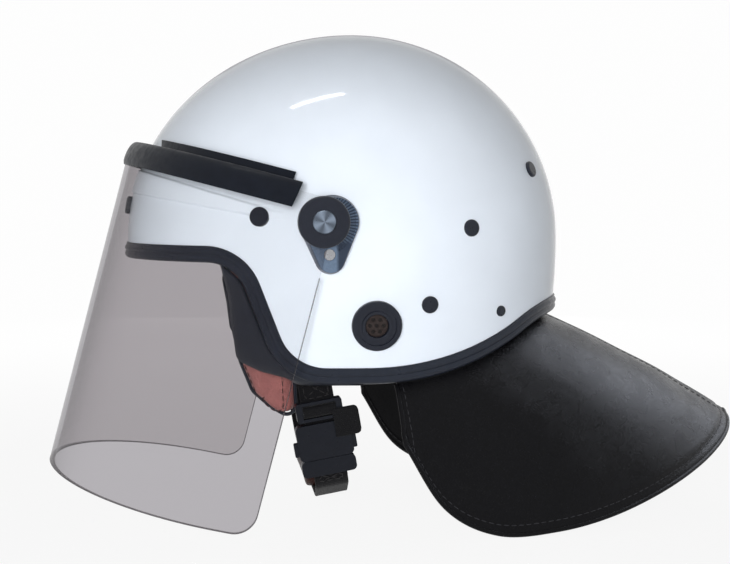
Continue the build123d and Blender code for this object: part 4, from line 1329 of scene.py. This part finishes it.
class HELMET_OT_chin_strap(Operator):
    """Chin strap of webbing with its slider, buckle and leather chin pad"""

    bl_idname = "helmet.chin_strap"
    bl_label = "Chin strap"

    def execute(self, context):
        lean = (math.radians(-STRAP_RAKE), 0, 0)
        webbing = woven("strap_webbing", colours().webbing, sizes().weave, 0.00022, lean)
        thread = plastic("strap_thread", (0.02, 0.019, 0.02), 0.6)
        short = self.ribbon("webbing_short", STRAP_SHORT, (), webbing, tab="start")
        self.eyelet(short, STRAP_X)
        loop = self.ribbon("webbing_loop", STRAP_LOOP, STRAP_LOOP_RADII, webbing, tab="end")
        self.eyelet(loop, -STRAP_X)
        fold = self.ribbon(
            "webbing_fold", STRAP_FOLD, STRAP_FOLD_RADII, webbing, half=10.3, thick=0.8, gap=0.4
        )
        tail = self.tail(webbing)
        piece(short, "chin_strap", "strap_webbing", "chin_strap_short")
        piece(loop, "chin_strap", "strap_webbing", "chin_strap_long")
        piece(fold, "chin_strap", "strap_webbing")
        piece(tail, "chin_strap", "strap_webbing", "strap_tail")
        for name, low, high in STRAP_SEAMS:
            piece(self.box_seam(f"strap_seam_{name}", low, high, thread), "chin_strap", "strap_webbing")
        buckle = plastic("buckle_plastic", scaled(colours().plastic, 0.5), 0.34, gloss=0.2)
        for name in BUCKLE_NODES:
            finish_node(name, buckle)
            rounded(name, 0.0007, 3)
        finish_node("strap_anchors", metal("anchor_steel", (0.55, 0.55, 0.56), 0.35))
        skin = leather("chin_leather", (0.035, 0.014, 0.012), 0.45)
        pad = puffed(core("chin_pad", "chin_cushion", skin), voxel=0.003, inset=0.0008, most=0.002)
        piece(pad, "chin_strap", "chin_leather", "chin_pad")
        return {"FINISHED"}

    @staticmethod
    def directions():
        """Down the strap and across the webbing."""
        lean = math.radians(STRAP_RAKE)
        return Vector((0, math.sin(lean), -math.cos(lean))), Vector((0, math.cos(lean), math.sin(lean)))

    def place(self, x, drop, across=0.0):
        """Point of the strap's own plane, in millimetres."""
        down, side = self.directions()
        return Vector((x, *STRAP_ANCHOR)) + down * drop + side * across

    @staticmethod
    def webbing_profile(thick):
        """Section of the webbing with thicker selvages; its width runs from -1 to 1."""
        shares = ((-1.0, 0.35), (-0.97, 0.85), (-0.9, 1.0), (-0.8, 0.88), (-0.4, 0.92), (0.0, 0.94))
        half = shares + tuple((-share, thickness) for share, thickness in reversed(shares[:-1]))
        return [(thickness * thick, share) for share, thickness in half] + [
            (-thickness * thick, share) for share, thickness in reversed(half)
        ]

    def ribbon(self, name, corners, radii, material, tab="", half=STRAP_HALF_WIDTH, thick=1.0, gap=1.0):
        """Flat webbing along a line of the strap's plane, with a round tab at its anchor."""
        down, across = self.directions()
        line = rounded_line(corners, radii, gap)
        total = (len(line) - 1) * gap
        path, sides = [], []
        for i, (point, along) in enumerate(zip(line, tangents(line))):
            path.append(self.place(point.x, point.y))
            reach = {"start": i * gap, "end": total - i * gap}.get(tab, half)
            narrow = math.sqrt(max(half**2 - max(half - reach, 0.0) ** 2, STRAP_TAB_LEAST**2))
            sides.append((Vector((along.y, 0, 0)) - down * along.x, across * narrow))
        return sweep(name, path, sides, self.webbing_profile(thick), material)

    def eyelet(self, obj, x):
        """Hole for the anchor's shank."""
        rims = ((EYELET_RADIUS, -EYELET_REACH), (EYELET_RADIUS, EYELET_REACH))
        cut_away(obj, turned_piece("strap_drill", self.place(x, 0.0), Vector((1, 0, 0)), rims, None))

    def tail(self, material):
        """Loose end of the short strap, rounded and curled a little outward."""
        down, _ = self.directions()
        x, drop, start = TAIL_PLACE
        path, sides = [], []
        for i in range(33):
            share = i / 32
            path.append(self.place(x + TAIL_CURL * share**2, drop, start + TAIL_LENGTH * share))
            near = max(0.0, TAIL_CORNER - TAIL_LENGTH * (1 - share))
            half = TAIL_HALF_WIDTH - TAIL_CORNER + math.sqrt(max(TAIL_CORNER**2 - near**2, 0.0))
            sides.append((Vector((1, 0, 0)), down * half))
        return sweep("webbing_tail", path, sides, self.webbing_profile(1.0), material)

    def box_seam(self, name, low, high, thread):
        """Sewn box with crossed diagonals on the webbing's outer face."""
        side = STRAP_SEAM_HALF_WIDTH
        corners = [self.place(STRAP_X, *p) for p in ((low, -side), (low, side), (high, side), (high, -side))]
        path = even([corners[i] for i in (0, 1, 2, 3, 0, 2, 1, 3)], 0.5)
        return stitches(name, path, [Vector((1, 0, 0))] * len(path), thread, lift=1.05)


class HELMET_OT_neck_guard(Operator):
    """Leather neck guard: two panels, seams, stitches and rolled edges"""

    bl_idname = "helmet.neck_guard"
    bl_label = "Neck guard"

    def execute(self, context):
        finish_node("guard_strip", plastic("strip_plastic", colours().plastic, 0.6))
        self.read_folds()
        skin = leather("guard_leather", colours().leather, 0.25, 0.00013, gloss=0.1)
        thread = plastic("guard_thread", (0.02, 0.02, 0.023), 0.6)
        guard = self.skirt(skin)
        piece(guard, "helmet", "guard_leather", "neck_guard")
        for obj in self.trimmings(skin, thread):
            piece(obj, "helmet", "guard_leather")
        return {"FINISHED"}

    def read_folds(self):
        """Fold lines of both sides as tables that can be read at any place between them."""
        roots = []
        for turn in GUARD_TURNS:
            a = math.radians(180 - turn)
            z = -20.0
            for _ in range(12):
                z = edge_height(dome_point(a, z, GUARD_SEAT).y) - GUARD_BEND_DROP
            roots.append(dome_point(a, z, GUARD_SEAT))
        hems = [Vector(p) for p in GUARD_HEMS]

        def both(points):
            return [Vector((-p.x, p.y, p.z)) for p in points[:0:-1]] + points

        self.roots, self.hems = both(roots), both(hems)
        self.bows = list(GUARD_BOWS[:0:-1]) + list(GUARD_BOWS)

    @staticmethod
    def between(table, place):
        """Smooth value of a table at a place between two of its entries."""
        last = len(table) - 1
        i = min(int(place), last - 1)
        s = place - i
        a, b = table[i], table[i + 1]
        before = table[i - 1] if i else a * 2 - b
        after = table[i + 2] if i + 2 <= last else b * 2 - a
        return (
            b * (3 * s * s - 2 * s**3)
            + a * (1 - 3 * s * s + 2 * s**3)
            + (b - before) * (0.5 * (s - 2 * s * s + s**3))
            + (after - a) * (0.5 * (s**3 - s * s))
        )

    def plain(self, u, v):
        """Middle of the leather before creases: u from right to left, v from the bend to the hem."""
        last = len(self.roots) - 1
        root, hem, bow = (self.between(table, u * last) for table in (self.roots, self.hems, self.bows))
        step = 0.02
        low, high = max(0.0, u - step) * last, min(1.0, u + step) * last
        along = (
            self.between(self.roots, high) + self.between(self.hems, high)
            - self.between(self.roots, low) - self.between(self.hems, low)
        ).normalized()
        down = (hem - root).normalized()
        outward = along.cross(down).normalized()
        return root.lerp(hem, v) + outward * ((hem - root).length * bow * 4 * v * (1 - v)), outward

    def surface(self, u, v, lift=0.0):
        """Point of the creased leather, lifted off its middle."""
        point, outward = self.plain(u, v)
        crease = sizes().crease / MM
        soft = min(1.0, v * 5) * min(1.0, (1 - v) * 8 + 0.25)
        folds = len(self.roots) - 1
        place = Vector([rate * value for rate, value in zip(CREASE_RATES, point)])
        wave = noise.noise(place + Vector(CREASE_START))
        fold = noise.noise(Vector((u * folds, v * 2.2, 1.7)))
        centre = abs(u - 0.5) * folds
        ridge, dip = (height * math.exp(-((centre / wide) ** 2)) for height, wide in (SEAM_RIDGE, SEAM_DIP))
        border = min(1.0, (1 - v) / 0.055, u / 0.012, (1 - u) / 0.012)
        off_seam = (1 - v) * self.length(u) - sizes().seam_inset / MM
        groove = SEAM_GROOVE[0] * math.exp(-((off_seam / SEAM_GROOVE[1]) ** 2)) if v > 0.5 else 0.0
        height = crease * soft * (0.9 * wave + 0.5 * fold) + ridge - dip - groove
        side = 1 if lift >= 0 else -1
        swell = lift * (0.55 + 0.45 * border)
        return point + outward * (height + swell), outward * side

    def length(self, u):
        """Straight distance from the bend to the hem."""
        place = u * (len(self.roots) - 1)
        return (self.between(self.hems, place) - self.between(self.roots, place)).length

    def skirt(self, material):
        """Both faces of the leather, with a tuck above the bend, closed round their border."""
        columns, rows, tuck_rows = 321, 81, 4
        verts = []
        for lift in (GUARD_HALF_WALL, -GUARD_HALF_WALL):
            for r in range(-tuck_rows, rows):
                for c in range(columns):
                    u = c / (columns - 1)
                    if r >= 0:
                        point, _ = self.surface(u, r / (rows - 1), lift)
                    else:
                        base, _ = self.surface(u, 0.0, lift)
                        out = dome_normal(base)
                        up = out.cross(Vector((0, 0, 1))).cross(out).normalized()
                        point = base + up * (-GUARD_TUCK * r / tuck_rows)
                    verts.append(point)
        rows += tuck_rows
        per_side = rows * columns
        faces = grid_faces(rows, columns)
        faces += [tuple(reversed([i + per_side for i in face])) for face in faces]
        rim = list(range(columns))
        rim += [r * columns + columns - 1 for r in range(1, rows)]
        rim += [(rows - 1) * columns + c for c in range(columns - 2, -1, -1)]
        rim += [r * columns for r in range(rows - 2, 0, -1)]
        for a, b in zip(rim, rim[1:] + rim[:1]):
            faces.append((a, b, b + per_side, a + per_side))
        return new_piece("guard_skirt", verts, faces, material)

    def line(self, places, lift):
        """Points and outward directions of the leather along a line of places."""
        path, normals = [], []
        for u, v in places:
            point, normal = self.surface(u, v, lift)
            path.append(point)
            normals.append(normal)
        return path, normals

    def trimmings(self, skin, thread):
        """Rolled edge round the hem and front edges, and rows of stitches."""
        count = 260
        front = [0.02 + 0.98 * i / 60 for i in range(61)]
        border = [(0.0, v) for v in front[:-1]] + [(i / count, 1.0) for i in range(count + 1)]
        border += [(1.0, v) for v in front[-2::-1]]
        path, normals = self.line(border, 0.0)
        made = [cord_round("guard_piping", path, normals, sizes().piping / MM, skin)]
        inset = sizes().seam_inset / MM
        hem = [(i / count, 1 - inset / self.length(i / count)) for i in range(4, count - 3)]
        for name, lift in (("outside", GUARD_HALF_WALL), ("inside", -GUARD_HALF_WALL)):
            path, normals = self.line(hem, lift)
            made.append(stitches(f"guard_stitches_hem_{name}", path, normals, thread))
        for name, u, shift in (
            ("centre_left", 0.5, 0.022),
            ("centre_right", 0.5, -0.022),
            ("front_left", 1.0, -0.014),
            ("front_right", 0.0, 0.014),
        ):
            seam = [(u + shift, 0.03 + 0.93 * i / 80) for i in range(81)]
            path, normals = self.line(seam, GUARD_HALF_WALL)
            made.append(stitches(f"guard_stitches_{name}", path, normals, thread))
        return made


class HELMET_OT_stage(Operator):
    """Pale floor and backdrop, soft lamps and the camera"""

    bl_idname = "helmet.stage"
    bl_label = "Stage"

    def execute(self, context):
        scene = context.scene
        low = min(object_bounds()[0].z, cad_box[0][2]) - FLOOR_GAP
        verts, count = [], 24
        for x in (-STAGE_REACH, STAGE_REACH):
            section = [(-STAGE_REACH, low)]
            for i in range(count + 1):
                turn = math.pi / 2 * i / count
                back = STAGE_REACH - STAGE_BEND + STAGE_BEND * math.sin(turn)
                section.append((back, low + STAGE_BEND - STAGE_BEND * math.cos(turn)))
            section.append((STAGE_REACH, low + STAGE_RISE))
            verts += [(x / MM, y / MM, z / MM) for y, z in section]
        floor = new_piece("backdrop", verts, grid_faces(2, len(verts) // 2), self.paper())
        floor.rotation_euler = (0, 0, math.radians(90))
        floor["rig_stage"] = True
        lamps = {name: self.lamp(name, *values) for name, *values in LAMPS}
        # This lamp's glare would also show in the glossy shell
        leather_only = bpy.data.collections.new("leather_only")
        for name in ("guard_skirt", "guard_piping"):
            leather_only.objects.link(bpy.data.objects[name])
        lamps["leather_box"].light_linking.receiver_collection = leather_only
        lamps["leather_box"].data.color = LEATHER_LIGHT
        self.world(scene)
        self.camera(scene)
        scene.view_settings.view_transform = "Standard"
        return {"FINISHED"}

    @staticmethod
    def lamp(name, place, size, power, gloss, matt, turn):
        """Rectangular lamp that points at the helmet, turned about its own axis."""
        data = bpy.data.lights.new(name, "AREA")
        data.shape = "RECTANGLE"
        data.size, data.size_y = size
        data.energy = power
        obj = bpy.data.objects.new(name, data)
        bpy.context.scene.collection.objects.link(obj)
        obj.location = place
        obj.rotation_mode = "QUATERNION"
        aim = (Vector(LAMP_AIM) - Vector(place)).to_track_quat("-Z", "Y")
        obj.rotation_quaternion = aim @ Quaternion((0, 0, 1), math.radians(turn))
        obj.visible_glossy = gloss
        obj.visible_diffuse = matt
        return obj

    @staticmethod
    def paper():
        """Floor that the camera, gloss and glass see as white, apart from its shadow."""
        finish = Finish("backdrop_paper", colours().backdrop, 0.9)
        finish.two_tone(scaled(colours().backdrop, 0.985), colours().backdrop, finish.speckle(0.2, 2.0))
        colour, seen = seen_surroundings(finish.tree)
        plain = finish.add("ShaderNodeEmission")
        finish.link(colour, plain.inputs["Color"])
        # Near the helmet the floor shows more of its shadow
        plainer = finish.ramp(finish.length(finish.place), 0.35, 1.1, 0.9, 0.985)
        mix = finish.add("ShaderNodeMixShader")
        finish.link(finish.math("MULTIPLY", seen, plainer), mix.inputs["Fac"])
        finish.link(finish.shader.outputs["BSDF"], mix.inputs[1])
        finish.link(plain.outputs["Emission"], mix.inputs[2])
        finish.link(mix.outputs["Shader"], finish.output.inputs["Surface"])
        return finish.material

    @staticmethod
    def world(scene):
        """Dim room that the camera, gloss and glass see as white."""
        scene.world = bpy.data.worlds.new("studio")
        scene.world.use_nodes = True
        tree = scene.world.node_tree
        tree.nodes.clear()
        output = tree.nodes.new("ShaderNodeOutputWorld")
        room = tree.nodes.new("ShaderNodeBackground")
        room.inputs["Color"].default_value = (*ROOM_LIGHT, 1)
        room.inputs["Strength"].default_value = ROOM_STRENGTH
        plain = tree.nodes.new("ShaderNodeBackground")
        colour, seen = seen_surroundings(tree)
        tree.links.new(colour, plain.inputs["Color"])
        mix = tree.nodes.new("ShaderNodeMixShader")
        tree.links.new(seen, mix.inputs["Fac"])
        tree.links.new(room.outputs["Background"], mix.inputs[1])
        tree.links.new(plain.outputs["Background"], mix.inputs[2])
        tree.links.new(mix.outputs["Shader"], output.inputs["Surface"])

    @staticmethod
    def camera(scene):
        """Camera that looks at the helmet's left side."""
        data = bpy.data.cameras.new("camera")
        data.lens = CAMERA_LENS
        data.sensor_width = CAMERA_SENSOR
        data.clip_start = 0.05
        obj = bpy.data.objects.new("camera", data)
        scene.collection.objects.link(obj)
        obj.location = CAMERA_PLACE
        obj.rotation_mode = "QUATERNION"
        obj.rotation_quaternion = (Vector(CAMERA_AIM) - Vector(CAMERA_PLACE)).to_track_quat("-Z", "Y")
        scene.camera = obj


STEPS = (
    HELMET_OT_shell,
    HELMET_OT_trim,
    HELMET_OT_edging,
    HELMET_OT_lining,
    HELMET_OT_cheek_pads,
    HELMET_OT_ports,
    HELMET_OT_caps,
    HELMET_OT_pivots,
    HELMET_OT_visor,
    HELMET_OT_chin_strap,
    HELMET_OT_neck_guard,
    HELMET_OT_stage,
)


class HELMET_PT_panel(Panel):
    """Steps and settings of the helmet"""

    bl_idname = "HELMET_PT_panel"
    bl_label = "Riot helmet"
    bl_space_type = "VIEW_3D"
    bl_region_type = "UI"
    bl_category = "Helmet"

    def draw(self, context):
        settings = context.scene.riot_helmet
        for step in STEPS:
            self.layout.operator(step.bl_idname)
        for group in (settings.colours, settings.sizes):
            box = self.layout.box()
            for key in group.bl_rna.properties.keys():
                if key not in ("rna_type", "name"):
                    box.prop(group, key)


CLASSES = (HelmetColours, HelmetSizes, HelmetSettings) + STEPS + (HELMET_PT_panel,)


def register():
    for cls in CLASSES:
        bpy.utils.register_class(cls)
    bpy.types.Scene.riot_helmet = PointerProperty(type=HelmetSettings)


def unregister():
    del bpy.types.Scene.riot_helmet
    for cls in reversed(CLASSES):
        bpy.utils.unregister_class(cls)


def main():
    """Builds the helmet step by step."""
    register()
    for step in STEPS:
        group, name = step.bl_idname.split(".")
        result = getattr(getattr(bpy.ops, group), name)()
        if result != {"FINISHED"}:
            raise RuntimeError(f"{step.bl_idname} did not finish")


if __name__ == "__main__":
    main()
